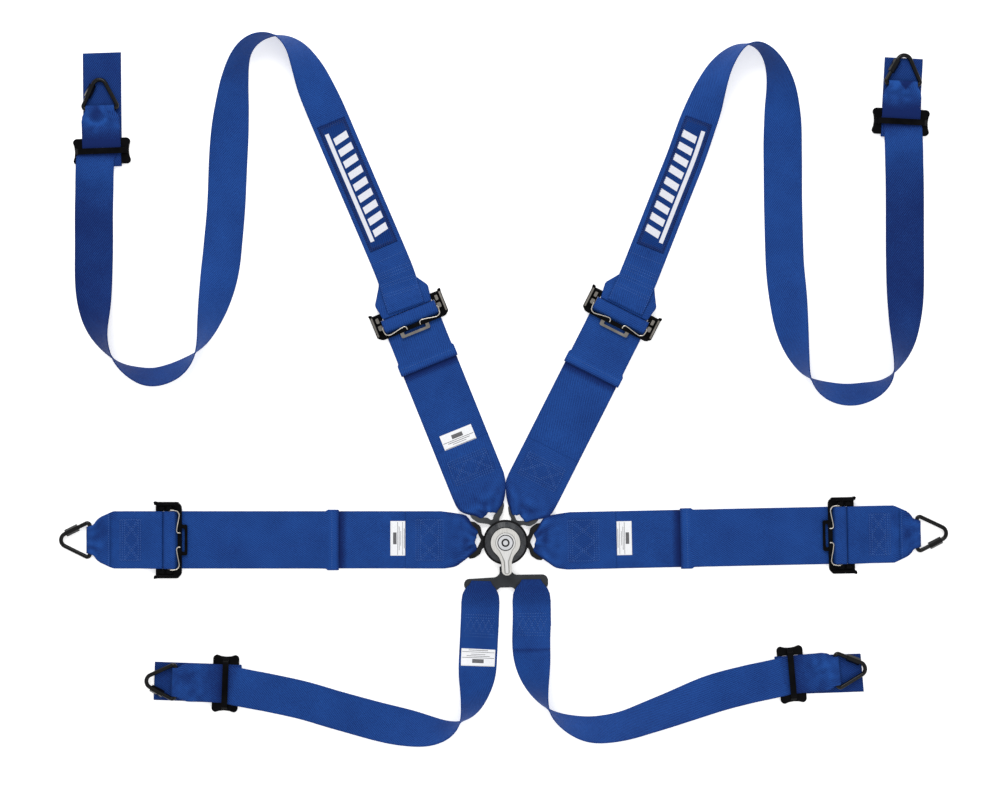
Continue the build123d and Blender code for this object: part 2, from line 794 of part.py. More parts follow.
for name, anchor, arm in (
    ("shoulder_left", ANCHOR_SHOULDER_LEFT, 1),
    ("shoulder_right", ANCHOR_SHOULDER_RIGHT, 1),
    ("crotch_left", ANCHOR_CROTCH_LEFT, 1),
    ("crotch_right", ANCHOR_CROTCH_RIGHT, 1),
):
    bar_at = anchor[3] - WRAP_R - WEB / 2
    NODES["slide_" + name] = slide_frame(*anchor[:3])
    NODES["link_" + name] = quick_link(*anchor[:3], bar_at, arm, LINK_HIGH)
    NODES["sleeve_" + name] = link_sleeve(*anchor[:3], bar_at, arm, LINK_HIGH)

for name, place, bar_at in (
    ("lap_left", LAP_LEFT, LAP_BAR_LEFT),
    ("lap_right", LAP_RIGHT, LAP_BAR_RIGHT),
):
    NODES["link_" + name] = quick_link(*place, bar_at, -1, LINK_LOW)
    NODES["sleeve_" + name] = link_sleeve(*place, bar_at, -1, LINK_LOW)

crotch_tongue.part.label = "crotch_tongue"
export_step(buckle_base.part, "parts/buckle_base.step")
export_step(pivot_post.part, "parts/pivot_post.step")
export_step(buckle_housing.part, "parts/buckle_housing.step")
export_step(buckle_screws.part, "parts/buckle_screws.step")
export_step(lock_plate.part, "parts/lock_plate.step")
export_step(plate_spring.part, "parts/plate_spring.step")
export_step(cam_disc.part, "parts/cam_disc.step")
export_step(release_lever.part, "parts/release_lever.step")
export_step(lever_cap.part, "parts/lever_cap.step")
export_step(crotch_tongue.part, "parts/crotch_tongue.step")
for name, part in NODES.items():
    part.label = name
    export_step(part, f"parts/{name}.step")
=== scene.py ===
"""Looks of the six-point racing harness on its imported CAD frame.

Lengths and places below are millimetres in the row frame, and become metres where a mesh is made.
The buckle's turning axis is the origin, +Y is up the chest and +Z is up from the floor.
"""
import math

import bpy
import numpy as np
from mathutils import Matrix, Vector, noise
from mathutils.geometry import tessellate_polygon


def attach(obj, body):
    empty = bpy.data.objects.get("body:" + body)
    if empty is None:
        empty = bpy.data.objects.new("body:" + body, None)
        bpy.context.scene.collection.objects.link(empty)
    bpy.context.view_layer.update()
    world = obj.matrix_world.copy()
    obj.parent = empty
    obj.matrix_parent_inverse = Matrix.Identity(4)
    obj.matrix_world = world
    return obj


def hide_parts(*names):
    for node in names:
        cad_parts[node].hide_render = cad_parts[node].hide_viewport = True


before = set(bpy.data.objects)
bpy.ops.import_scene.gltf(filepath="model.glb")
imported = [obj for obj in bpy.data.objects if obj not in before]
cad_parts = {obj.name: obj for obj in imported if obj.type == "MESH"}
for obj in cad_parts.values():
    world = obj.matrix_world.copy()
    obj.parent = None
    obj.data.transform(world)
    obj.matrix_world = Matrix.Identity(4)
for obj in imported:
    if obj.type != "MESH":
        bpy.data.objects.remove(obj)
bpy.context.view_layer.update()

MM = 0.001
STEP = 2.5

# Webbing
WEB = 1.4
W2 = 50.8
W3 = 76.2
WRAP_R = 3.8
LINK_HIGH = 6.05

# Straps: where the tongue's bar lies, and the strap's heading in degrees from +X
SHOULDER_LEFT = (-24, 44.4, 112)
SHOULDER_RIGHT = (21.3, 40.3, 63.2)
LAP_LEFT = (-46, 2.7, 180)
LAP_RIGHT = (46, 0.6, 1.2)
ADJUSTER_LEFT = 273
ADJUSTER_RIGHT = 290
ADJUSTER_LAP = 398
LAP_BAR_LEFT = 506
LAP_BAR_RIGHT = 501

# Anchor ends: slide centre, heading, webbing reach past the slide, tail length
ANCHOR_SHOULDER_LEFT = (-536, 519, 92, 61, 131)
ANCHOR_SHOULDER_RIGHT = (525, 558, 87, 54.5, 85)
ANCHOR_CROTCH_LEFT = (-372, -188, 178, 71, 95)
ANCHOR_CROTCH_RIGHT = (380, -176, 5, 64, 94)

# Twisted runs: (x, y, heading, tilt) of the webbing's centre line; a tilt of 90 stands on edge
LOOP_LEFT = (
    (-149, 363, 113, 0), (-223, 536, 113, 0), (-252, 603, 115, 21), (-263, 630, 122, 41),
    (-279, 657, 140, 63), (-298, 670, 163, 80), (-315, 671, 184, 90), (-341, 658, 225, 102),
    (-350, 642, 243, 112), (-356, 618, 256, 125), (-362, 574, 262, 145), (-367, 525, 265, 168),
    (-371, 450, 267, 180), (-376, 388, 266, 176), (-380, 348, 263, 155), (-385, 320, 259, 138),
    (-391, 295, 254, 122), (-404, 258, 238, 92), (-418, 240, 213, 70), (-440, 225, 194, 59),
    (-467, 218, 178, 59), (-493, 226, 156, 74), (-512, 237, 138, 90), (-530, 261, 120, 111),
    (-539, 282, 108, 132), (-544, 308, 98, 154), (-547, 345, 92, 174), (-547, 390, 90, 180),
    (-547, 450, 89, 180), (-544.4, 510, 87, 180),
)
LOOP_RIGHT = (
    (176, 350, 68, 0), (236, 501, 68, 0), (262, 574, 68, 21), (271, 601, 64, 40), (283, 628, 56, 54),
    (302, 651, 40, 70), (318, 660, 14, 82), (332, 659, 345, 90), (349, 643, 308, 103),
    (359, 622, 291, 118), (364, 600, 283, 133), (366, 574, 277, 149), (368, 520, 272, 172),
    (369, 450, 271, 180), (371, 375, 272, 180), (375, 322, 275, 160), (378, 290, 278, 145),
    (382, 266, 282, 131), (389, 242, 291, 112), (399, 219, 306, 90), (409, 210, 319, 73),
    (427, 200, 341, 59), (454, 195, 0, 54), (484, 202, 20, 63), (496, 207, 32, 75), (508, 218, 48, 90),
    (518, 238, 65, 112), (525, 262, 75, 135), (529, 295, 84, 155), (531, 345, 90, 176),
    (531, 400, 90, 180), (530.5, 490, 91, 180), (527.6, 549, 93, 180),
)
CROTCH_LEFT_RUN = (
    (-34, -100, 268, 0), (-37, -166, 268, 0), (-38, -184, 265, 28), (-41, -202, 259, 43),
    (-46, -219, 249, 58), (-52, -230, 234, 70), (-60, -239, 216, 90), (-78, -247, 196, 112),
    (-100, -249, 182, 134), (-127, -246, 173, 152), (-167, -239, 167, 172), (-220, -225, 165, 180),
    (-280, -208, 168, 180), (-363.3, -190.4, 168, 180),
)
CROTCH_RIGHT_RUN = (
    (35, -98, 271, 0), (34, -137, 271, 4), (37, -170, 277, 32), (41, -188, 284, 50),
    (48, -207, 297, 71), (57, -222, 313, 90), (72, -233, 331, 101), (89, -241, 343, 114),
    (112, -247, 356, 126), (152, -243, 11, 130), (192, -230, 18, 138), (240, -213, 20, 150),
    (290, -197, 14, 172), (371.2, -178, 13, 180),
)


def along(x, y, heading, u, v=0.0):
    """The point u along the heading and v to its left."""
    a = math.radians(heading)
    return x + u * math.cos(a) - v * math.sin(a), y + u * math.sin(a) + v * math.cos(a)


def share(value):
    """The value, kept between 0 and 1."""
    return min(1.0, max(0.0, value))


def mottle(a, b, c):
    """Smooth noise at a point."""
    return noise.noise(Vector((a, b, c)))


def raised(height):
    """A shift straight up."""
    return np.array((0, 0, height))


def even_half(knots, halves):
    """The same half width on both sides, from its knots along u."""

    def half(u):
        width = float(np.interp(u, knots, halves))
        return width, width

    return half


# ---- stage, in metres
CAMERA_PLACE = (-0.0073, 0.1972, 3.14)
LENS = 85
SENSOR = 36
ROOM_LIGHT = 0.74
# Name, place, target, size and power
LAMPS = (
    ("Key", (-0.5, 2.4, 2.3), (0.0, 0.25, 0.0), 1.6, 48),
    ("Fill", (1.4, -1.5, 2.4), (0.0, 0.0, 0.0), 2.0, 16),
)
FLOOR_SIZE = 14
FLOOR_PLACE = (0, 0.2, -0.0006)
FLOOR_GLOW = 0.46
WHITE = (1.0, 1.0, 1.0, 1.0)


def make_camera():
    """Straight above the harness, with the whole of it in view."""
    camera = bpy.data.cameras.new("Camera")
    camera.lens = LENS
    camera.sensor_width = SENSOR
    camera.clip_end = 20
    view = bpy.data.objects.new("Camera", camera)
    bpy.context.collection.objects.link(view)
    view.location = CAMERA_PLACE
    bpy.context.scene.camera = view


def area_light(name, place, target, size, power):
    """A square soft light aimed at a point."""
    light = bpy.data.lights.new(name, "AREA")
    light.energy = power
    light.size = size
    lamp = bpy.data.objects.new(name, light)
    bpy.context.collection.objects.link(lamp)
    lamp.location = place
    lamp.rotation_euler = (Vector(target) - Vector(place)).to_track_quat("-Z", "Y").to_euler()


def make_lights():
    """A white room with a large soft key light beyond the shoulder straps."""
    world = bpy.data.worlds.new("Studio")
    world.use_nodes = True
    background = world.node_tree.nodes["Background"]
    background.inputs["Color"].default_value = WHITE
    background.inputs["Strength"].default_value = ROOM_LIGHT
    bpy.context.scene.world = world
    for lamp in LAMPS:
        area_light(*lamp)


def make_floor():
    """Pale floor just under the webbing."""
    bpy.ops.mesh.primitive_plane_add(size=FLOOR_SIZE, location=FLOOR_PLACE)
    floor = bpy.context.object
    floor.name = "Floor"
    floor.data.materials.append(floor_material())


# ---- materials
class Nodes:
    """Shorthand for building one material's node tree."""

    def __init__(self, name, rough, metal=0.0):
        self.material = bpy.data.materials.new(name)
        self.material.use_nodes = True
        self.tree = self.material.node_tree
        self.shader = self.tree.nodes["Principled BSDF"]
        self.set(Roughness=rough, Metallic=metal)

    def set(self, **values):
        """Constants on the shader's own sockets."""
        for key, value in values.items():
            self.shader.inputs[key.replace("_", " ")].default_value = value

    def add(self, kind, **values):
        """A node, with its properties and unlinked inputs set."""
        node = self.tree.nodes.new(kind)
        for key, value in values.items():
            if hasattr(node, key):
                setattr(node, key, value)
            else:
                node.inputs[key.replace("_", " ")].default_value = value
        return node

    def link(self, a, b):
        self.tree.links.new(a, b)

    def math(self, operation, a, b=0.0):
        """A Math node's result; a and b are sockets or numbers."""
        node = self.add("ShaderNodeMath", operation=operation)
        for place, value in enumerate((a, b)):
            if isinstance(value, (int, float)):
                node.inputs[place].default_value = value
            else:
                self.link(value, node.inputs[place])
        return node.outputs[0]

    def times(self, a, b):
        return self.math("MULTIPLY", a, b)

    def plus(self, a, b):
        return self.math("ADD", a, b)

    def wave(self, distance, pitch):
        """A sine that repeats at every pitch."""
        return self.math("SINE", self.times(distance, 2 * math.pi / pitch))

    def weave(self):
        """Distance along the cloth, distance across it and its tone, which carries painted light and shade,
        as stored on its vertices.
        """
        stored = self.add("ShaderNodeAttribute", attribute_name="weave")
        split = self.add("ShaderNodeSeparateXYZ")
        self.link(stored.outputs["Vector"], split.inputs[0])
        return [split.outputs[axis] for axis in "XYZ"]

    def noise(self, scale, detail=3.0, vector=None, rough=0.5):
        node = self.add("ShaderNodeTexNoise", Scale=scale, Detail=detail, Roughness=rough)
        self.link(vector or self.place(), node.inputs["Vector"])
        return node.outputs["Fac"]

    def place(self):
        """Object coordinates, which are the row frame in metres."""
        if not hasattr(self, "coordinates"):
            self.coordinates = self.add("ShaderNodeTexCoord").outputs["Object"]
        return self.coordinates

    def colour(self, factor, dark, light, low=0.3):
        """Base colour from dark to light while the factor goes from low to one minus low."""
        node = self.add("ShaderNodeValToRGB")
        stops = ((low, dark), (1 - low, light))
        for element, (position, colour) in zip(node.color_ramp.elements, stops):
            element.position = position
            element.color = (*colour, 1.0)
        self.link(factor, node.inputs["Fac"])
        self.link(node.outputs["Color"], self.shader.inputs["Base Color"])

    def roughness(self, socket, low, high):
        node = self.add("ShaderNodeMapRange", To_Min=low, To_Max=high)
        self.link(socket, node.inputs["Value"])
        self.link(node.outputs[0], self.shader.inputs["Roughness"])

    def bump(self, height, distance, strength=1.0):
        node = self.add("ShaderNodeBump", Strength=strength, Distance=distance)
        self.link(height, node.inputs["Height"])
        self.link(node.outputs["Normal"], self.shader.inputs["Normal"])


def floor_material():
    """Matt white back-lit paper with a very faint unevenness, so that shadows stay light."""
    n = Nodes("floor_paper", 0.95)
    n.set(Emission_Color=WHITE, Emission_Strength=FLOOR_GLOW, Specular_IOR_Level=0.0)
    n.colour(n.noise(3.0), (0.93, 0.93, 0.93), (0.96, 0.96, 0.96))
    return n.material


TWILL_PITCH = 3.9
TWILL_SLANT = 1.35
TWILL_WANDER = 2.2
RIB_PITCH = 3.1
PICK_PITCH = 3.5
LABEL_PICK_PITCH = 0.6


def webbing_material(name, dark, light):
    """Woven polyester: diagonal twill over fine lengthwise ribs, with uneven yarns and a soft sheen."""
    n = Nodes(name, 0.72)
    run, across, tone = n.weave()
    slant = n.plus(n.plus(run, n.times(across, TWILL_SLANT)), n.times(n.noise(260.0, 2.0), TWILL_WANDER))
    cross = n.times(n.wave(across, RIB_PITCH), n.wave(run, PICK_PITCH))
    yarn = n.plus(n.times(n.wave(slant, TWILL_PITCH), 0.44), n.times(cross, 0.22))
    cloudy = n.times(n.math("SUBTRACT", n.noise(22.0, 4.0), 0.5), 0.5)
    fibres = n.times(n.math("SUBTRACT", n.noise(900.0, 2.0), 0.5), 0.9)
    mix = n.plus(n.plus(n.times(yarn, 0.5), 0.5), n.plus(cloudy, fibres))
    # The stored tone adds painted light and shade to the cloth's colour
    n.colour(n.plus(mix, tone), dark, light, 0.0)
    n.bump(n.plus(yarn, n.times(fibres, 0.3)), 0.00032, 0.55)
    n.set(Sheen_Weight=0.015, Sheen_Roughness=0.45, Specular_IOR_Level=0.1)
    return n.material


def thread_material(name, dark, light):
    """Twisted lock-stitch thread, shinier than the webbing."""
    n = Nodes(name, 0.5)
    n.colour(n.noise(900.0), dark, light)
    n.bump(n.noise(4000.0), 0.0001, 0.5)
    return n.material


def metal_material(name, dark, light, rough, metal, gloss):
    """Plated or painted steel with cloudy gloss and a fine grain."""
    n = Nodes(name, rough, metal)
    n.set(Specular_IOR_Level=gloss)
    n.colour(n.noise(60.0, 5.0), dark, light)
    n.roughness(n.noise(180.0, 4.0), rough - 0.08, rough + 0.12)
    n.bump(n.noise(1400.0, 3.0), 0.00005, 0.25)
    return n.material


def brushed_material(name, dark, light, rough):
    """Satin metal brushed round the turning axis."""
    n = Nodes(name, rough, 1.0)
    stretch = n.add("ShaderNodeMapping", Scale=(1400.0, 90.0, 90.0))
    n.link(n.place(), stretch.inputs["Vector"])
    streaks = n.noise(1.0, 4.0, stretch.outputs[0], 0.65)
    n.colour(streaks, dark, light)
    n.roughness(streaks, rough - 0.06, rough + 0.1)
    n.bump(streaks, 0.00006, 0.3)
    return n.material


def plastic_material(name, dark, light, rough, gloss):
    """Moulded plastic with a fine spark-eroded grain."""
    n = Nodes(name, rough)
    n.set(Specular_IOR_Level=gloss)
    n.colour(n.noise(40.0, 4.0), dark, light, 0.35)
    n.roughness(n.noise(220.0, 4.0), rough - 0.07, rough + 0.08)
    n.bump(n.noise(1900.0, 2.0), 0.00014, 0.35)
    return n.material


def label_material(name, dark, light):
    """Close satin ribbon with faint crosswise picks."""
    n = Nodes(name, 0.55)
    picks = n.wave(n.weave()[0], LABEL_PICK_PITCH)
    grain = n.plus(n.times(picks, 0.25), n.noise(700.0, 3.0))
    n.colour(grain, dark, light, 0.2)
    n.bump(grain, 0.0001, 0.4)
    n.set(Sheen_Weight=0.1)
    return n.material


BLUE = webbing_material("webbing_blue", (0.0030, 0.0144, 0.096), (0.0150, 0.0810, 0.340))
PATCH = webbing_material("patch_cloth", (0.0010, 0.0100, 0.075), (0.0060, 0.0500, 0.240))
THREAD = thread_material("stitch_thread", (0.009, 0.058, 0.25), (0.036, 0.118, 0.39))
BORDER_THREAD = thread_material("border_thread", (0.001, 0.012, 0.085), (0.004, 0.030, 0.16))
LABEL = label_material("label_white", (0.74, 0.75, 0.78), (0.90, 0.91, 0.93))
PRINT = label_material("print_grey", (0.05, 0.05, 0.055), (0.16, 0.16, 0.17))
MOTIF = label_material("motif_white", (0.58, 0.59, 0.65), (0.76, 0.77, 0.83))

# Name, dark and light colour, roughness, metallic share and gloss
METALS = (
    ("black_steel", (0.0012, 0.0012, 0.0018), (0.0040, 0.0039, 0.0044), 0.28, 0.0, 0.035),
    ("link_steel", (0.0012, 0.0012, 0.0016), (0.0040, 0.0038, 0.0040), 0.16, 0.0, 0.2),
    # The _edge rows are lighter copies that paint highlights on bevelled edges
    ("black_steel_edge_highlight", (0.022, 0.021, 0.020), (0.100, 0.096, 0.088), 0.26, 0.4, 0.4),
    ("rail_steel", (0.130, 0.121, 0.107), (0.260, 0.243, 0.220), 0.34, 0.7, 0.3),
    ("rail_steel_edge_highlight", (0.20, 0.18, 0.155), (0.34, 0.31, 0.27), 0.3, 0.9, 0.3),
    ("tongue_steel", (0.020, 0.022, 0.025), (0.032, 0.035, 0.039), 0.46, 0.0, 0.16),
    ("tongue_steel_edge_highlight", (0.034, 0.037, 0.041), (0.060, 0.065, 0.071), 0.4, 0.0, 0.25),
    # A lighter copy of the tongue steel: painted light on the narrow shoulder tongues, against the shade they
    # sit in
    ("shoulder_tongue_lit_steel", (0.038, 0.041, 0.045), (0.060, 0.064, 0.069), 0.46, 0.0, 0.16),
    ("lap_tongue_steel", (0.004, 0.004, 0.005), (0.012, 0.012, 0.013), 0.34, 0.0, 0.16),
    ("spring_wire", (0.46, 0.43, 0.38), (0.70, 0.66, 0.59), 0.25, 1.0, 0.5),
    ("zinc_steel", (0.35, 0.36, 0.37), (0.52, 0.53, 0.54), 0.4, 1.0, 0.5),
)
(BLACK_STEEL, LINK_STEEL, BLACK_EDGE_HIGHLIGHT, RAIL_STEEL, RAIL_EDGE_HIGHLIGHT, GREY_STEEL,
 GREY_EDGE_HIGHLIGHT, LIT_TONGUE_STEEL, LAP_STEEL, WIRE, ZINC) = (metal_material(*row) for row in METALS)
SHELL = plastic_material("shell_grey", (0.024, 0.026, 0.029), (0.042, 0.045, 0.050), 0.4, 0.4)
RIM = plastic_material("rim_black", (0.002, 0.002, 0.002), (0.006, 0.006, 0.007), 0.4, 0.1)
CAP = plastic_material("cap_grey", (0.52, 0.53, 0.55), (0.66, 0.67, 0.69), 0.35, 0.3)
RING = plastic_material("ring_dark", (0.008, 0.008, 0.009), (0.018, 0.018, 0.020), 0.4, 0.15)
ALLOY = brushed_material("lever_alloy", (0.66, 0.65, 0.62), (0.86, 0.85, 0.82), 0.36)
# A darker copy of the lever's alloy: painted shade that outlines the blade's bevelled edges
ALLOY_EDGE_SHADE = brushed_material("lever_edge_shade_alloy", (0.20, 0.20, 0.19), (0.34, 0.34, 0.33), 0.3)
# Lighter and darker copies of the lever's alloy: the crest's is a painted highlight, the groove's is painted
# shade
ALLOY_HIGHLIGHT = brushed_material("lever_crest_highlight_alloy", (0.84, 0.84, 0.83), (0.96, 0.96, 0.95), 0.3)
ALLOY_SHADE = brushed_material("lever_groove_shade_alloy", (0.30, 0.30, 0.29), (0.44, 0.44, 0.42), 0.4)


# ---- webbing geometry
# Where webbing lies close to the floor, as (x, y, reach): the buckle, slides and adjusters
CALM_REACH = 60
ANCHORS = (ANCHOR_SHOULDER_LEFT, ANCHOR_SHOULDER_RIGHT, ANCHOR_CROTCH_LEFT, ANCHOR_CROTCH_RIGHT)
ADJUSTER_SPOTS = ((-126, 297), (152, 299), (-444, 2.7), (443, 9))
CALM = (
    (0, 0, 95),
    *((x, y, CALM_REACH) for x, y, *_ in ANCHORS),
    *((x, y, CALM_REACH) for x, y in ADJUSTER_SPOTS),
)


def lift(x, y):
    """How far webbing that lies flat stands off the floor here, so that stacked layers rise together."""
    height = max(0.0, 0.45 + 1.1 * mottle(x / 75, y / 75, 3.1) + 0.3 * mottle(x / 26, y / 26, 8.7))
    for cx, cy, reach in CALM:
        height *= share(math.hypot(x - cx, y - cy) / reach - 0.35) ** 0.7
    return height


class Rows:
    """Cross lines of webbing: centre points, across vectors, half widths to the left and right."""

    def __init__(self):
        self.points = np.zeros((0, 3))
        self.across = np.zeros((0, 3))
        self.halves = np.zeros((0, 2))

    def add(self, points, across, halves):
        """More rows at the end; halves is one number or a (left, right) pair for each row."""
        points = np.asarray(points, float)
        self.points = np.vstack((self.points, points))
        self.across = np.vstack((self.across, np.broadcast_to(np.asarray(across, float), points.shape)))
        self.halves = np.vstack((self.halves, np.broadcast_to(np.asarray(halves, float), (len(points), 2))))
        return self

    def axes(self):
        """Distance along, tangent and face normal of every row."""
        gaps = np.linalg.norm(np.diff(self.points, axis=0), axis=1)
        distance = np.concatenate(((0.0,), np.cumsum(gaps)))
        tangent = np.gradient(self.points, axis=0)
        tangent /= np.linalg.norm(tangent, axis=1)[:, None]
        normal = np.cross(tangent, self.across)
        normal /= np.linalg.norm(normal, axis=1)[:, None]
        return distance, tangent, normal


def corner_arc(before, here, after, radius, step=math.radians(12)):
    """Points that round the corner at here, between two straight runs."""
    here = np.array(here, float)
    back, ahead = np.array(before, float) - here, np.array(after, float) - here
    far_back, far_ahead = np.linalg.norm(back), np.linalg.norm(ahead)
    back, ahead = back / far_back, ahead / far_ahead
    half = math.acos(float(np.clip(back @ ahead, -1, 1))) / 2
    if half > math.radians(89.5):
        return [here]
    run = min(radius / math.tan(half), far_back, far_ahead)
    radius = run * math.tan(half)
    centre = here + (back + ahead) / np.linalg.norm(back + ahead) * radius / math.sin(half)
    arm = here + back * run - centre
    turn = math.pi - 2 * half
    if back[0] * ahead[1] - back[1] * ahead[0] > 0:
        turn = -turn
    count = max(2, math.ceil(abs(turn) / step))
    angles = [turn * k / count for k in range(count + 1)]
    return [centre + np.array((arm[0] * math.cos(t) - arm[1] * math.sin(t),
                               arm[0] * math.sin(t) + arm[1] * math.cos(t))) for t in angles]


def rounded(path):
    """(u, z) corners, some with a bend radius, as a polyline no coarser than STEP."""
    out = [np.array(path[0][:2], float)]
    for before, here, after in zip(path, path[1:], path[2:]):
        if len(here) > 2:
            out += corner_arc(before[:2], here[:2], after[:2], here[2])
        else:
            out.append(np.array(here, float))
    out.append(np.array(path[-1][:2], float))
    fine = [out[0]]
    for p in out[1:]:
        start = fine[-1]
        gap = np.linalg.norm(p - start)
        if gap < 0.05:
            continue
        count = max(1, math.ceil(gap / STEP))
        fine += [start + (p - start) * k / count for k in range(1, count + 1)]
    return np.array(fine)


def closed_outline(corners):
    """(x, y, radius) corners of a closed outline as points."""
    out = []
    for i, (x, y, radius) in enumerate(corners):
        before, after = corners[i - 1][:2], corners[(i + 1) % len(corners)][:2]
        out += corner_arc(before, (x, y), after, radius) if radius else [np.array((x, y), float)]
    return out


def profile_rows(place, path, half, turned=False):
    """Rows of webbing folded in the upright plane through place, and their (u, z).
    half is a half width, or gives the (right, left) half widths at u."""
    x, y, heading = place
    fine = rounded(path)
    a = math.radians(heading)
    points = np.stack((x + fine[:, 0] * math.cos(a), y + fine[:, 0] * math.sin(a), fine[:, 1]), -1)
    points[:, 2] += [lift(p[0], p[1]) for p in points]
    across = np.array((-math.sin(a), math.cos(a), 0.0))
    if turned:
        across = -across
    halves = [half(u) if callable(half) else (half, half) for u in fine[:, 0]]
    return Rows().add(points, across, halves), fine


def monotone(knots, values, at):
    """Smooth interpolation that never overshoots its knots."""
    gaps = np.diff(knots)
    slopes = np.diff(values) / gaps
    product = slopes[:-1] * slopes[1:]
    inner = np.where(product > 0, 2 * product / (slopes[:-1] + slopes[1:] + 1e-12), 0)
    ends = np.concatenate(((slopes[0],), inner, (slopes[-1],)))
    return hermite(knots, values, ends, at)


def hermite(knots, values, slopes, at):
    """Cubic through the knots with the given slopes."""
    i = np.clip(np.searchsorted(knots, at, side="right") - 1, 0, len(knots) - 2)
    gap = knots[i + 1] - knots[i]
    t = (at - knots[i]) / gap
    return ((2 * t**3 - 3 * t**2 + 1) * values[i] + (t**3 - 2 * t**2 + t) * gap * slopes[i]
            + (3 * t**2 - 2 * t**3) * values[i + 1] + (t**3 - t**2) * gap * slopes[i + 1])


def soften(values, rows=5, times=3):
    """Running mean along the rows that keeps both ends."""
    values = np.array(values, float)
    kernel = np.ones(2 * rows + 1) / (2 * rows + 1)
    for _ in range(times):
        before = 2 * values[0] - values[rows:0:-1]
        after = 2 * values[-1] - values[-2:-rows - 2:-1]
        values = np.convolve(np.concatenate((before, values, after)), kernel, "valid")
    return values


OVER_SLIDE = ((0, 5.8), (20, 5.6), (46, 0.0), (2000, 0.0))


def run_rows(stations, side, layers):
    """Rows of webbing that turns on edge and ends on top of a slide.
    layers gives the height of what lies under its start, as (distance, mm)."""
    x, y, heading, tilt = np.array(stations, float).T
    turn = np.radians(heading)
    knots = np.concatenate(((0.0,), np.cumsum(np.hypot(np.diff(x), np.diff(y)))))
    at = np.linspace(0, knots[-1], math.ceil(knots[-1] / STEP) + 1)
    px = soften(hermite(knots, x, np.cos(turn), at), 4, 2)
    py = soften(hermite(knots, y, np.sin(turn), at), 4, 2)
    a = np.unwrap(np.arctan2(np.gradient(py), np.gradient(px)))
    t = soften(np.radians(monotone(knots, tilt, at)), 5, 3)
    height = np.abs(np.sin(t)) * W2 / 2 + np.abs(np.cos(t)) * WEB / 2
    flatness = np.abs(np.cos(t)) ** 4
    height += flatness * np.array([lift(p, q) for p, q in zip(px, py)])
    height += np.interp(at, *zip(*layers))
    height += soften(np.interp(knots[-1] - at, *zip(*OVER_SLIDE)), 2, 2)
    across = np.stack((np.sin(a) * np.cos(t), -np.cos(a) * np.cos(t), -side * np.sin(t)), -1)
    return Rows().add(np.stack((px, py, height), -1), across, W2 / 2)


def join(*parts):
    """Rows end to end, without the doubled row at each join."""
    whole = Rows()
    for part in parts:
        start = 0
        if len(whole.points) and np.linalg.norm(part.points[0] - whole.points[-1]) < 0.8:
            start = 1
        whole.add(part.points[start:], part.across[start:], part.halves[start:])
    return whole


# ---- meshes
def ring_faces(rings, sides, base=0):
    """Faces between rings of vertices that follow one another."""
    faces = []
    for r in range(rings - 1):
        for k in range(sides):
            here, beside = base + r * sides + k, base + r * sides + (k + 1) % sides
            faces.append((here, beside, beside + sides, here + sides))
    return faces


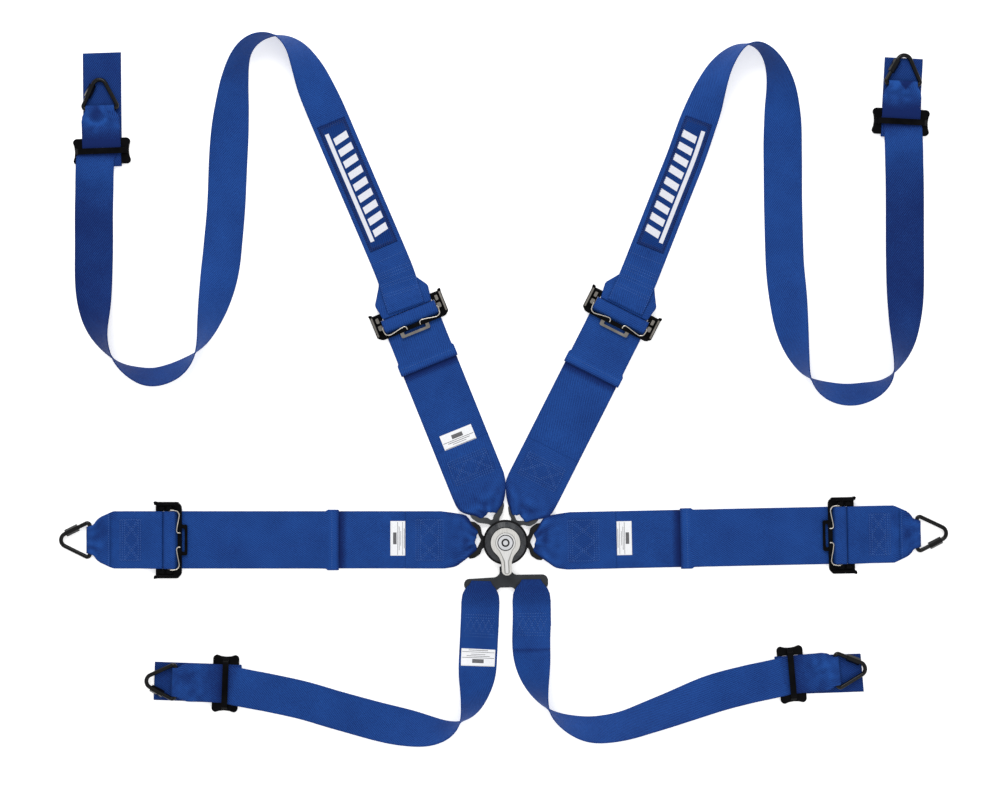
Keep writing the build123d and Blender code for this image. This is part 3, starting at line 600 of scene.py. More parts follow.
class Shape:
    """Vertices in millimetres and faces of one piece, put together from plates, tubes and turned parts."""

    def __init__(self, place=(0, 0, 0)):
        self.place = place
        self.vertices = []
        self.faces = []

    def put(self, vertices, faces):
        """More vertices, in the place's (u, v, z), and faces between them."""
        base = len(self.vertices)
        for u, v, z in vertices:
            x, y = along(*self.place, u, v)
            self.vertices.append((x, y, z))
        self.faces += [tuple(base + k for k in face) for face in faces]
        return self

    def plate(self, outlines, low, high, upright=False):
        """Plate between two heights, cut to closed outlines: the first is its edge, the others holes.
        An outline is points, or (x, y, radius) corners. An upright plate has its outlines in (v, z)
        and runs between two values of u."""
        outlines = [closed_outline(outline) if len(outline[0]) == 3 else outline for outline in outlines]
        loops = [[Vector((float(p[0]), float(p[1]), 0.0)) for p in outline] for outline in outlines]
        flat = [point for loop in loops for point in loop]
        count = len(flat)
        top = [tuple(face) for face in tessellate_polygon(loops)]
        area = sum((flat[b] - flat[a]).cross(flat[c] - flat[a]).z for a, b, c in top)
        if area < 0:
            top = [face[::-1] for face in top]
        faces = list(top) + [tuple(k + count for k in face[::-1]) for face in top]
        start = 0
        for number, outline in enumerate(outlines):
            size = len(outline)
            ahead = [*outline[1:], outline[0]]
            turn = sum(float(p[0] * q[1] - q[0] * p[1]) for p, q in zip(outline, ahead))
            outward = (turn > 0) == (number == 0)
            for k in range(size):
                a, b = start + k, start + (k + 1) % size
                wall = (a, a + count, b + count, b)
                faces.append(wall if outward else wall[::-1])
            start += size
        vertices = []
        for level in (high, low):
            vertices += [(level, p.x, p.y) if upright else (p.x, p.y, level) for p in flat]
        return self.put(vertices, faces)

    def tube(self, points, radius, sides=12):
        """Round bar along points, in (u, v, z), with domed ends."""
        points = np.array(points, float)
        tangent = np.gradient(points, axis=0)
        tangent /= np.linalg.norm(tangent, axis=1)[:, None]
        side = np.cross(tangent[0], (0, 0, 1))
        if np.linalg.norm(side) < 0.1:
            side = np.cross(tangent[0], (0, 1, 0))
        rings = []
        for i, (point, way) in enumerate(zip(points, tangent)):
            side = side - way * (side @ way)
            side /= np.linalg.norm(side)
            up = np.cross(side, way)
            rings.append((point, side, up, radius))
        first, last = rings[0], rings[-1]
        rings.insert(0, (first[0] - tangent[0] * radius * 0.4, first[1], first[2], radius * 0.6))
        rings.append((last[0] + tangent[-1] * radius * 0.4, last[1], last[2], radius * 0.6))
        vertices = []
        for point, side, up, size in rings:
            for k in range(sides):
                a = 2 * math.pi * k / sides
                vertices.append(tuple(point + size * (math.cos(a) * side + math.sin(a) * up)))
        faces = ring_faces(len(rings), sides)
        faces.append(tuple(range(sides - 1, -1, -1)))
        faces.append(tuple((len(rings) - 1) * sides + k for k in range(sides)))
        return self.put(vertices, faces)

    def turned(self, profile, count=96, radius_at=None):
        """Ring turned round the place's axis from a closed (radius, z) profile.
        radius_at, if given, changes a row's radius by angle."""
        vertices, faces = [], []
        for k in range(count):
            a = 2 * math.pi * k / count
            for row, (r, z) in enumerate(profile):
                size = radius_at(row, r, a) if radius_at else r
                vertices.append((size * math.cos(a), size * math.sin(a), z))
        size = len(profile)
        for k in range(count):
            n = (k + 1) % count
            for row in range(size):
                m = (row + 1) % size
                faces.append((k * size + row, n * size + row, n * size + m, k * size + m))
        return self.put(vertices, faces)


def smooth_line(points, step=0.8):
    """A flowing line through given (u, v, z) points."""
    points = np.array(points, float)
    knots = np.concatenate(((0.0,), np.cumsum(np.linalg.norm(np.diff(points, axis=0), axis=1))))
    at = np.linspace(0, knots[-1], math.ceil(knots[-1] / step) + 1)
    slopes = np.gradient(points, knots, axis=0)
    return np.stack([hermite(knots, points[:, k], slopes[:, k], at) for k in range(3)], -1)


def mirror(corners):
    """The (u, v, radius) corners on the other side, in the order that goes on round the outline."""
    return [(u, -v, r) for u, v, r in reversed(corners)]


def mirrored(corners):
    """A whole outline from its half with v above 0."""
    return [*corners, *mirror(corners)]


def on_side(corners, side):
    """The corners themselves for side 1, and with v turned over for side -1."""
    return [(u, side * v, r) for u, v, r in corners]


def arc(radius, degrees):
    """Points on a circle round the origin."""
    return [(radius * math.cos(t), radius * math.sin(t)) for t in np.radians(degrees)]


def pin_hole(u, v):
    """The round hole for one of the pin plate's pins."""
    turn = np.linspace(0, 2 * math.pi, 24, False)
    return [(u + PIN_HOLE_R * math.cos(t), v + PIN_HOLE_R * math.sin(t)) for t in turn]


def mesh_object(name, vertices, faces, material, body):
    """A mesh piece from millimetre vertices, riding on a body."""
    mesh = bpy.data.meshes.new(name)
    mesh.from_pydata([tuple(float(c) * MM for c in v) for v in vertices], [], faces)
    mesh.update()
    mesh.polygons.foreach_set("use_smooth", [True] * len(mesh.polygons))
    mesh.materials.append(material)
    piece = bpy.data.objects.new(name, mesh)
    bpy.context.collection.objects.link(piece)
    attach(piece, body)
    return piece


# Materials for bevel faces: painted highlights on the steel, painted shade outlining the lever's blade
EDGES = {BLACK_STEEL: BLACK_EDGE_HIGHLIGHT, RAIL_STEEL: RAIL_EDGE_HIGHLIGHT, GREY_STEEL: GREY_EDGE_HIGHLIGHT, LAP_STEEL: BLACK_EDGE_HIGHLIGHT,
         ALLOY: ALLOY_EDGE_SHADE}


def hardware(name, shape, edge, material, body, slot, *replaced):
    """A hard piece with its edges rounded, and a second material on the bevel faces that paints highlights on
    steel and painted shade on the lever's blade, standing for the CAD nodes given.
    """
    piece = mesh_object(name, shape.vertices, shape.faces, material, body)
    bevel = piece.modifiers.new("Edges", "BEVEL")
    bevel.width = edge * MM
    bevel.segments = 3
    bevel.limit_method = "ANGLE"
    bevel.angle_limit = math.radians(35)
    bevel.harden_normals = True
    if material in EDGES:
        piece.data.materials.append(EDGES[material])
        bevel.material = 1
    if replaced:
        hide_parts(*replaced)
    return piece


def store_weave(piece, values):
    """Three numbers for each vertex, which the cloth materials read."""
    data = piece.data.attributes.new("weave", "FLOAT_VECTOR", "POINT")
    data.data.foreach_set("vector", np.array(values, np.float32).ravel())


EDGE_ROLL = 0.5
EDGE_THIN = 0.22
EDGE_SHADE = 0.12


def ribbon(name, rows, body, material=None, thick=WEB, tones=None, ruffle=None):
    """Closed strip of cloth over the rows, with rolled edges and its weave co-ordinates."""
    distance, tangent, normal = rows.axes()
    widest = rows.halves.max()
    columns = max(8, math.ceil(2 * widest / STEP))
    inner = np.linspace(-1, 1, columns + 1)[1:-1]
    edge = 1 - EDGE_ROLL / widest
    spread = np.concatenate(((-1, -edge), inner[np.abs(inner) < edge - 0.01], (edge, 1)))
    thickness = np.full(len(spread), thick / 2)
    thickness[0] = thickness[-1] = thick * EDGE_THIN
    vertices, weave = [], []
    for i, (point, across, face) in enumerate(zip(rows.points, rows.across, normal)):
        reach = np.where(spread < 0, rows.halves[i, 0], rows.halves[i, 1]) * spread
        middle = point + reach[:, None] * across
        if ruffle:
            middle = middle + np.array([ruffle(i, v, f) for v, f in zip(reach, spread)])
        for sign, order in ((1, range(len(spread))), (-1, range(len(spread) - 1, -1, -1))):
            for j in order:
                vertices.append(middle[j] + face * sign * thickness[j])
                shade = tones(i, spread[j], sign) if tones else 0.0
                if abs(spread[j]) > edge - 0.02:
                    shade -= EDGE_SHADE
                weave.append((distance[i], spread[j] * widest, shade))
    ring = 2 * len(spread)
    faces = ring_faces(len(rows.points), ring)
    for base, last in ((0, False), ((len(rows.points) - 1) * ring, True)):
        for j in range(len(spread) - 1):
            quad = (base + j, base + j + 1, base + ring - 2 - j, base + ring - 1 - j)
            faces.append(quad if last else quad[::-1])
    piece = mesh_object(name, vertices, faces, material or BLUE, body)
    store_weave(piece, weave)
    return piece


# ---- stitches, labels and patches
def flat_surface(place, height, centre=(0, 0)):
    """(u, v) from a centre on webbing that lies flat at this height, as a point and its normal."""

    def at(u, v):
        x, y = along(*place, centre[0] + u, centre[1] + v)
        return np.array((x, y, height + lift(*along(*place, centre[0] + u)))), np.array((0.0, 0.0, 1.0))

    return at


def strap_surface(rows, height, start=0.0):
    """(distance past start, v) on the upper face of a strap's rows, as a point and its normal."""
    distance, tangent, normal = rows.axes()

    def at(s, v):
        s = s + start
        i = int(np.clip(np.searchsorted(distance, s) - 1, 0, len(distance) - 2))
        t = (s - distance[i]) / (distance[i + 1] - distance[i])
        face = normal[i] * (1 - t) + normal[i + 1] * t
        face /= np.linalg.norm(face)
        way = 1.0 if face[2] > 0 else -1.0
        across = (rows.across[i] * (1 - t) + rows.across[i + 1] * t) * way
        middle = rows.points[i] * (1 - t) + rows.points[i + 1] * t
        return middle + across * v + face * way * height, face * way

    return at


STITCH_PITCH = 3.1
STITCH_LONG = 1.7
STITCH_HALF = 0.5
STITCH_RISE = 0.42
STITCH_SIDES = 6
STITCH_RINGS = ((-1.0, 0.25), (-0.62, 0.9), (0.0, 1.0), (0.62, 0.9), (1.0, 0.25))


def one_stitch(middle, way, normal, vertices, faces):
    """A spindle along way, lying on the cloth."""
    aside = np.cross(normal, way)
    aside *= STITCH_HALF / np.linalg.norm(aside)
    base = len(vertices)
    for reach, size in STITCH_RINGS:
        for corner in range(STITCH_SIDES):
            a = 2 * math.pi * corner / STITCH_SIDES
            vertices.append(middle + way * reach + aside * math.cos(a) * size
                            + normal * math.sin(a) * STITCH_RISE * size)
    last = base + STITCH_SIDES * (len(STITCH_RINGS) - 1)
    faces += [face[::-1] for face in ring_faces(len(STITCH_RINGS), STITCH_SIDES, base)]
    faces.append(tuple(base + c for c in range(STITCH_SIDES)))
    faces.append(tuple(last + c for c in reversed(range(STITCH_SIDES))))


def stitches(name, seams, body):
    """Rows of raised stitches. Each seam is (surface, routes), a route being (u, v) corners."""
    vertices, faces = [], []
    legs = [(surface, *leg) for surface, routes in seams for route in routes for leg in zip(route, route[1:])]
    for surface, (u0, v0), (u1, v1) in legs:
        length = math.hypot(u1 - u0, v1 - v0)
        count = int(length // STITCH_PITCH)
        reach = STITCH_LONG / 2 / length
        for k in range(count):
            t = (k + 0.5) / count
            middle, normal = surface(u0 + (u1 - u0) * t, v0 + (v1 - v0) * t)
            ahead, _ = surface(u0 + (u1 - u0) * (t + reach), v0 + (v1 - v0) * (t + reach))
            one_stitch(middle, ahead - middle, normal, vertices, faces)
    return mesh_object(name, vertices, faces, THREAD, body)


BOX_ROW = 3
BOX_TWIN = 3.2


def box_seam(u0, u1, half, crossings=2):
    """A stitched rectangle with three rows at each end and doubled crossed lines between them."""
    routes = [[(u0, -half), (u1, -half)], [(u0, half), (u1, half)]]
    near, far = u0 + 2 * BOX_ROW, u1 - 2 * BOX_ROW
    for u in (u0, u0 + BOX_ROW, near, far, u1 - BOX_ROW, u1):
        routes.append([(u, -half), (u, half)])
    for k in range(crossings):
        left = -half + 2 * half * k / crossings
        right = -half + 2 * half * (k + 1) / crossings
        for shift in (0, BOX_TWIN):
            routes.append([(near, left + shift), (far, right - BOX_TWIN + shift)])
            routes.append([(near, right - shift), (far, left + BOX_TWIN - shift)])
    return routes


def printed(name, surface, shapes, rise, material, body):
    """Thin flat shapes on a surface: each is four (u, v) corners in order."""
    vertices, faces = [], []
    for a, b, c, d in shapes:
        a, b, c, d = (np.array(p, float) for p in (a, b, c, d))
        rows = max(1, math.ceil(max(np.linalg.norm(b - a), np.linalg.norm(c - d)) / 3))
        columns = max(1, math.ceil(max(np.linalg.norm(d - a), np.linalg.norm(c - b)) / 3))
        for height, flip in ((rise, False), (-0.15, True)):
            base = len(vertices)
            for i in range(rows + 1):
                for j in range(columns + 1):
                    s, t = i / rows, j / columns
                    u, v = (a * (1 - s) + b * s) * (1 - t) + (d * (1 - s) + c * s) * t
                    point, normal = surface(u, v)
                    vertices.append(point + normal * height)
            for i in range(rows):
                for j in range(columns):
                    k = base + i * (columns + 1) + j
                    quad = (k, k + columns + 1, k + columns + 2, k + 1)
                    faces.append(quad[::-1] if flip else quad)
        size = (rows + 1) * (columns + 1)
        rim = [i * (columns + 1) for i in range(rows + 1)]
        rim += [rows * (columns + 1) + j for j in range(1, columns + 1)]
        rim += [i * (columns + 1) + columns for i in range(rows - 1, -1, -1)]
        rim += list(range(columns - 1, 0, -1))
        base = len(vertices) - 2 * size
        for p, q in zip(rim, [*rim[1:], rim[0]]):
            faces.append((base + p, base + p + size, base + q + size, base + q))
    piece = mesh_object(name, vertices, faces, material, body)
    piece.data.polygons.foreach_set("use_smooth", [False] * len(piece.data.polygons))
    store_weave(piece, vertices)
    return piece


LABEL_THICK = 0.35
LABEL_ROWS = 12
# Printed bars, as shares of half the label's length and width: start, end, left, right
LABEL_BARS = (
    (0.18, 0.64, -0.36, 0.36), (0.0, 0.055, -1, 1), (-0.20, -0.14, -0.72, 0.72), (-0.40, -0.35, -0.45, 0.45),
    (-0.66, -0.61, -1, 1), (-0.88, -0.82, -0.6, 0.6),
)


def label(name, surface, top, size, body):
    """Sewn-on white label with generic ruled lines and bars: no lettering. surface and top take (u, v)."""
    length, width = size
    rows = Rows()
    for k in range(LABEL_ROWS + 1):
        u = -length / 2 + length * k / LABEL_ROWS
        middle, normal = surface(u, 0)
        aside, _ = surface(u, 1)
        across = aside - middle
        rows.add([middle], across / np.linalg.norm(across), width / 2)
    cloth = ribbon(name, rows, body, LABEL, LABEL_THICK)
    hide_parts(name)
    edge = width / 2 - 1.2
    shapes = []
    for low, high, left, right in LABEL_BARS:
        a, b = low * length / 2, high * length / 2
        shapes.append(((a, left * edge), (b, left * edge), (b, right * edge), (a, right * edge)))
    ink = printed(name.replace("label", "print"), top, shapes, 0.12, PRINT, body)
    return cloth


def belt_label(name, place, centre, size, body):
    """A label on a belt's upper face."""
    surface = flat_surface(place, WEB + LABEL_THICK / 2, centre)
    top = flat_surface(place, WEB + LABEL_THICK, centre)
    return label(name, surface, top, size, body)


PATCH_THICK = 0.7
BORDER_PITCH = 1.7
RUNGS = 9


def patch(side_name, rows, start, end, half, body, strap):
    """Badge ground on the shoulder strap, with a sewn border and a plain ladder of bars."""
    surface = strap_surface(rows, WEB / 2 + PATCH_THICK / 2)
    patch_rows = Rows()
    for s in np.arange(start, end, STEP):
        point, normal = surface(s, 0)
        ahead, _ = surface(s + 1, 0)
        across = np.cross(normal, ahead - point)
        patch_rows.add([point], across / np.linalg.norm(across), half)
    count = len(patch_rows.points)

    def tones(i, f, sign):
        rim = min(i, count - 1 - i) * STEP < 4.5 or abs(f) > 1 - 3.6 / half
        return -0.3 if rim else 0.0

    cloth = ribbon("patch_ground_" + side_name, patch_rows, body, PATCH, PATCH_THICK, tones)
    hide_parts("shoulder_patch_" + side_name)
    top = strap_surface(rows, WEB / 2 + PATCH_THICK)
    routes = []
    for k in range(3):
        inset = BORDER_PITCH * k
        s0, s1, w = start + 1.2 + inset, end - 3.4 - inset, half - 1.0 - inset
        routes.append([(s0, -w), (s1, -w), (s1, w), (s0, w), (s0, -w)])
    border = stitches("patch_border_" + side_name, [(top, routes)], body)
    border.data.materials.clear()
    border.data.materials.append(BORDER_THREAD)
    shapes = []
    far = half - 5.6
    inward = 1 if side_name == "left" else -1
    rule = (inward * far, inward * (far - 5.4))
    shapes.append(((start + 12, rule[0]), (end - 14, rule[0]), (end - 14, rule[1]), (start + 12, rule[1])))
    for k in range(RUNGS):
        s = start + 16 + (end - start - 32) * k / RUNGS
        v0, v1 = inward * (far - 8.2), inward * (far - 28.5)
        shapes.append(((s, v0), (s + 9.5, v0), (s + 13.5, v1), (s + 4.0, v1)))
    motif = printed("patch_motif_" + side_name, top, shapes, 0.25, MOTIF, body)
    return cloth


def sewn(name, rows, seams, body, tones, ruffle):
    """Webbing with its seams: one sheet that stands for the CAD node of the same name."""
    node = name.replace("webbing_", "")
    piece = ribbon(name, rows, body, tones=tones, ruffle=ruffle)
    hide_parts(node)
    thread = stitches("seam_" + node, seams, body)
    length = rows.axes()[0][-1]
    return piece


# ---- belts
def taper(*sides):
    """Half widths at u of a belt gathered into its tongue, from a list of (u, half) for each side."""

    def half(u):
        widths = []
        for side in sides:
            knots, values = np.array(side, float).T
            at = np.array([min(max(u, knots[0]), knots[-1] - 0.01)])
            widths.append(float(monotone(knots, values, at)[0]))
        return tuple(widths)

    return half


FULL = W3 / 2
SHOULDER_OUTER = ((-9.5, 12.5), (-4, 18.5), (0, 23.6), (5, 30.2), (11, 35.2), (20, 37.5), (34, FULL))
LEFT_INNER = ((-9.5, 10.5), (-7.6, 13.1), (-3.6, 19.8), (3, 25.4), (10.6, 29.9), (25.3, 35.9), (36, FULL))
RIGHT_INNER = ((-9.5, 9.5), (-4, 15.4), (0, 19.6), (6, 25.0), (13, 29.8), (27.2, 37.0), (38, FULL))
LAP_UPPER = ((-9.5, 11.5), (-5, 16.5), (-1, 22.5), (3, 28.8), (8, 33.2), (21, 35.6), (40, FULL))
LAP_LOWER = ((-9.5, 13), (-6, 15.5), (0.8, 21.2), (11, 28.8), (21, 35.4), (35, FULL))

# The stitched box's half width and how much painted shade darkens it, how far the pocketed end spreads, and
# how far from the tongue's bar the belt gathers
BOX_HALF = 27
BOX_SHADE = 0.09
HEM_SPREAD = 2.1
GATHER = 38


def belt(name, place, adjuster, hem, overlap, box, half, body):
    """Three-inch belt: hem, tail, round the lock bar, back to the tongue and sewn on itself."""
    a = adjuster
    path = (
        (hem + 14, 2.3), (hem, 2.3, 1.1), (hem, 4.6, 1.1), (hem + 14, 4.6, 10), (hem + 34, 2.2, 20),
        (a - 6.4, 2.2, 6), (a - 5.45, 10.8, 5.0),
        (a + 4.7, 10.8), (a + 9.75, 10.8, 5.05), (a + 9.75, 0.7, 5.05), (a + 4.7, 0.7), (34, 0.7, 20),
        (14, 2.4, 10), (-8.6, 2.4, 2.2), (-8.6, 7.0, 2.2), (14, 7.0, 10), (38, 2.2, 12), (overlap - 8, 2.2),
        (overlap, 1.5),
    )
    rows, fine = profile_rows(place, path, half)
    turn = int(np.argmax(fine[:, 0]))
    for i, (u, z) in enumerate(fine[:turn]):
        rows.halves[i] += HEM_SPREAD * share((hem + 17 - u) / 3)
    fold = int(np.argmin(fine[:, 0]))
    seed = sum(map(ord, name))
    way = np.array((math.cos(math.radians(place[2])), math.sin(math.radians(place[2])), 0))

    def ruffle(i, v, f):
        """Pleats where the belt gathers, drooping edges and a hollow between the horns."""
        u = fine[i][0]
        if i < turn or u > GATHER:
            return np.zeros(3)
        hollow = 3.6 * math.exp(-(((f - 0.1) / 0.42) ** 2)) + 2.2 * mottle(f * 2.8, 1.7, seed % 23)
        draw = way * hollow * share((10 - u) / 16)
        near = (1 - u / GATHER) ** 1.3 if u > 0 else 1.0
        pleat = 0.5 + 0.5 * math.sin(f * 7.5 + 1.3 * math.sin(seed) + 1.7 * f * f)
        droop = max(0.0, abs(f) - 0.62) / 0.38
        if i <= fold:
            return draw + raised(near * 0.5 * (droop - pleat))
        puff = 2.0 * mottle(f * 2.6, u / 13, seed % 17) + 0.66 * mottle(f * 3.1, 4.4, seed % 11)
        return draw + raised(near * (1.3 * pleat + puff - 2.6 * droop**2))

    def tones(i, f, sign):
        """Painted shade where light doesn't reach: in the gathers, in the stitched box and beside the hem,
        with a painted highlight on the hem's top and painted light and shade mottling the gathers.
        """
        u = fine[i][0]
        if turn < i < fold:
            # Painted shadow of the hem on the layer below it
            return -0.75 * max(0.0, 1 - abs(u - hem + 2) / 10)
        shade = 0.0
        if i > fold and u < GATHER:
            near = 1 - max(u, 0) / GATHER
            # Painted light and shade mottle the gathers, and painted shade darkens their drooping edges
            shade += near * (0.55 * mottle(f * 3.0, u / 12, seed % 17) - 0.12)
            shade -= 0.7 * max(0.0, abs(f) - 0.78) / 0.22 * near
        if i > fold and box[0] < u < box[1] and abs(f) < 0.76:
            shade -= BOX_SHADE
        if i < turn and u < hem + 12:
            # Painted shadow at the hem's edge, with painted light on its top
            shade += 0.1 - 0.45 * max(0.0, 1 - (u - hem) / 4)
        return shade

    hem_seam = [[(hem + 8.5, -FULL), (hem + 8.5, FULL)]]
    seams = [
        (flat_surface(place, 4.6 + WEB / 2), hem_seam),
        (flat_surface(place, 2.2 + WEB / 2), box_seam(*box, BOX_HALF)),
    ]
    return sewn(name, rows, seams, body, tones, ruffle)


def anchor_band(name, place, adjuster, bar, body):
    """Band between the adjuster's rear bar and the link, with its end sewn down on top."""
    a = adjuster
    top = 0.7 + 2 * WRAP_R
    end = a + 81
    path = (
        (a + 66, 0.7), (a + 36, 0.7, 10), (a + 26, 2.35, 10), (a + 11.2, 2.35, 2.5), (a + 11.2, 7.45, 2.5),
        (a + 26, 7.45, 12), (a + 40, 2.2, 12), (a + 66, 2.2, 8), (a + 78, 0.7, 8),
        (bar + WRAP_R, 0.7, WRAP_R), (bar + WRAP_R, top, WRAP_R), (bar - 3, top, 4), (bar - 14, 3.0, 10),
        (end, 2.5),
    )

    half = even_half((bar - 31, bar - 27, bar - 14, bar - 9, bar - 5.2, bar + 4),
                     (FULL, 36.6, 30.6, 26.6, 20.2, 17.4))
    rows, fine = profile_rows(place, path, half)
    peak = int(np.argmax(fine[:, 0]))

    def ruffle(i, v, f):
        """A wavy upper layer with edges that droop over the lower one."""
        u = fine[i][0]
        near = share((u - bar + 40) / 30)
        fold = max(0.0, abs(f) - 0.7) / 0.3
        if i > peak:
            return raised(near * (1.8 * mottle(f * 1.7, u / 17, bar % 13) - 1.6 * fold**2))
        return raised(near * 0.5 * fold)

    def tones(i, f, sign):
        """Painted light and shade, uneven where the band gathers, and painted shade in the stitched box."""
        u = fine[i][0]
        if u > bar - 40:
            return share((u - bar + 40) / 30) * (0.5 * mottle(f * 2.4, u / 15, bar % 13) - 0.1)
        if i > 8 and a + 38 < u < a + 68 and abs(f) < 0.76:
            return -BOX_SHADE
        return 0.0

    end_seam = [[(end + 2.5, -FULL + 4), (end + 2.5, FULL - 4)]]
    seams = [
        (flat_surface(place, 2.2 + WEB / 2), box_seam(a + 38, a + 68, BOX_HALF)),
        (flat_surface(place, 2.9 + WEB / 2), end_seam),
    ]
    return sewn(name, rows, seams, body, tones, ruffle)


# ---- straps
def anchor_rows(anchor, lean):
    """From under the slide's middle bar round the link, back under itself, round the slide and out
    as the tail. lean turns the tail's end sideways, in millimetres."""
    x, y, heading, reach, tail = anchor
    bar = reach - WRAP_R - WEB / 2
    low = LINK_HIGH - WRAP_R
    high = LINK_HIGH + WRAP_R
    path = (
        (3, 6.5), (34, 6.5, 8), (bar - 3, high, 4), (bar + WRAP_R, high, WRAP_R), (bar + WRAP_R, low, WRAP_R),
        (bar - 3, low, 4), (34, 5.0, 8), (-20.03, 5.0, 2.1), (-20.03, 0.7, 2.1), (tail, 0.7),
    )
    rows, fine = profile_rows((x, y, heading), path, W2 / 2)
    peak = int(np.argmax(fine[:, 0] * (fine[:, 1] > 1.5)))
    turn = peak + int(np.argmin(fine[peak:, 0]))
    aside = np.array((-math.sin(math.radians(heading)), math.cos(math.radians(heading)), 0))
    half = even_half((bar - 17, bar - 9, bar - 4, bar + 3), (W2 / 2, 23.6, 19.4, 18.8))
    for i, (u, z) in enumerate(fine):
        if i < turn:
            rows.halves[i] = half(u)
        if i > turn:
            rows.points[i] += aside * lean * (u + 20) / (tail + 20)
    return rows


# How much painted shade darkens the webbing beside its slide
SHOULDER_GLOOM = 1.2
CROTCH_GLOOM = 0.55
# How much of the gloom lies on the run, by the distance before the slide
RUN_UP = ((25, 90, 250, 400), (-0.2, 1, 1, 0))


def painted_dent_shade(back, f):
    """Painted shade of a round hollow just behind the fold, with a painted highlight on the lit lip on its
    far side.
    """
    ring = math.hypot((back - 8) / 12, (f - 0.2) / 0.52)
    lip = share((back - 8) / 6) * math.exp(-(((ring - 1.05) / 0.24) ** 2))
    return 0.42 * lip - 0.55 * math.exp(-((ring / 0.62) ** 2))


def painted_notch_shade(back, f):
    """Painted shade of a fold whose edge dips in a V."""
    depth = 11.5 * (1 - abs(f + 0.15) / 0.55) - 3.8
    return -0.75 * share((depth - back) / 1.5)


def even_tone(back, f):
    """A plain fold."""
    return 0.0


FOLD_TONES = {"left": painted_dent_shade, "right": painted_notch_shade}


def anchor_crumple(rows, first, anchor, gloom, fold_tone=even_tone):
    """Ruffle of webbing that puffs where it gathers into the link, and tones that paint its light and shade,
    dents included.
    gloom is how much painted shade darkens it beside the slide and, more gently, on the run up to it."""
    x, y, heading, reach, tail = anchor
    bar = reach - WRAP_R - WEB / 2
    way = np.array((math.cos(math.radians(heading)), math.sin(math.radians(heading))))

    def where(i):
        """A row's distance past the slide, and whether it is on the upper layer."""
        u = float((rows.points[i][:2] - np.array((x, y))) @ way)
        return u, rows.points[i][2] > LINK_HIGH - 0.6

    def puff(u, f):
        """How far the cloth stands off where it gathers."""
        return share((u - 16) / 14) * abs(mottle(f * 1.9, u / 13, reach))

    def ruffle(i, v, f):
        u, upper = where(i)
        if i < first or not upper:
            return np.zeros(3)
        droop = max(0.0, abs(f) - 0.66) / 0.34
        return raised(share((bar - 4 - u) / 6) * (3.4 * puff(u, f) - 1.2 * share((u - 16) / 14) * droop**2))

    distance = rows.axes()[0]

    def tones(i, f, sign):
        # Painted shade on the run up to the slide, on the shoulder straps only
        if i < first - 12:
            back = float(distance[first] - distance[i])
            return -0.62 * (gloom - CROTCH_GLOOM) * float(np.interp(back, *RUN_UP))
        u, upper = where(i)
        # Painted shade where the run meets the slide
        if i < first:
            return -0.25 * max(0.0, 1 - abs(u + 6) / 8)
        # Painted shade on the lower layer under the fold
        if not upper:
            return -0.26 + 0.1 * mottle(f, u / 30, reach)
        # Painted shade beside the slide and at the fold, painted creases, and a painted highlight where the
        # cloth puffs
        shade = fold_tone(bar - u, f) - gloom * max(0.0, 1 - (u - 3) / 33) ** 1.3
        crease = share((u - 16) / 14) * (0.34 * mottle(f * 1.4, u / 11, reach + 5) - 0.12)
        return shade + 0.45 * puff(u, f) + crease

    return ruffle, tones


def shoulder_strap(side_name, place, adjuster, loop, anchor, side, lean, badge):
    """Two-inch strap from the adjuster over the shoulder loop to its anchor end."""
    body = "arm_shoulder_" + side_name
    node = "shoulder_strap_" + side_name
    a = adjuster
    start = (*along(*place, a + 14), place[2], 0)
    layers = ((0, 8.0), (12, 8.0), (28, 3.0), (52, 3.0), (78, 0.0), (2000, 0.0))
    run = run_rows((start, *loop), side, layers)
    rows = join(run, anchor_rows(anchor, lean))
    ruffle, tones = anchor_crumple(rows, len(run.points), anchor, SHOULDER_GLOOM, FOLD_TONES[side_name])
    piece = ribbon("webbing_" + node, rows, body, tones=tones, ruffle=ruffle)
    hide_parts(node)
    edge = W2 / 2
    routes = [[(s, -edge + 2), (s, edge - 2)] for s in (22, 26, 36, 40, 48, 52, 56, 72)]
    routes += [[(1, -edge + 1.4), (40, -edge + 1.4)], [(1, edge - 1.4), (40, edge - 1.4)]]
    path = (
        (a + 62, 0.7), (a + 36, 0.7, 10), (a + 26, 2.35, 10), (a + 11.2, 2.35, 2.5), (a + 11.2, 7.0, 2.3),
        (a + 26, 7.0, 12), (a + 38, 2.2, 12), (a + 62, 2.2),
    )
    knots = (a + 11, a + 16, a + 31, a + 34, a + 53, a + 62)
    flare_rows, _ = profile_rows(place, path, even_half(knots, (34.2, 35.2, 37.8, 36.9, 24.6, 20)))
    flare = ribbon("webbing_flare_" + side_name, flare_rows, body)
    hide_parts(node)
    flare_rows.axes()[0][-1] * MM
    thread = stitches("seam_" + node, [(strap_surface(rows, WEB / 2), routes)], body)
    rows.axes()[0][-1] * MM
    patch(side_name, rows, *badge, body, piece.name)
    return piece


CROTCH_OVERLAP = 46
CROTCH_LABEL_AT = 54


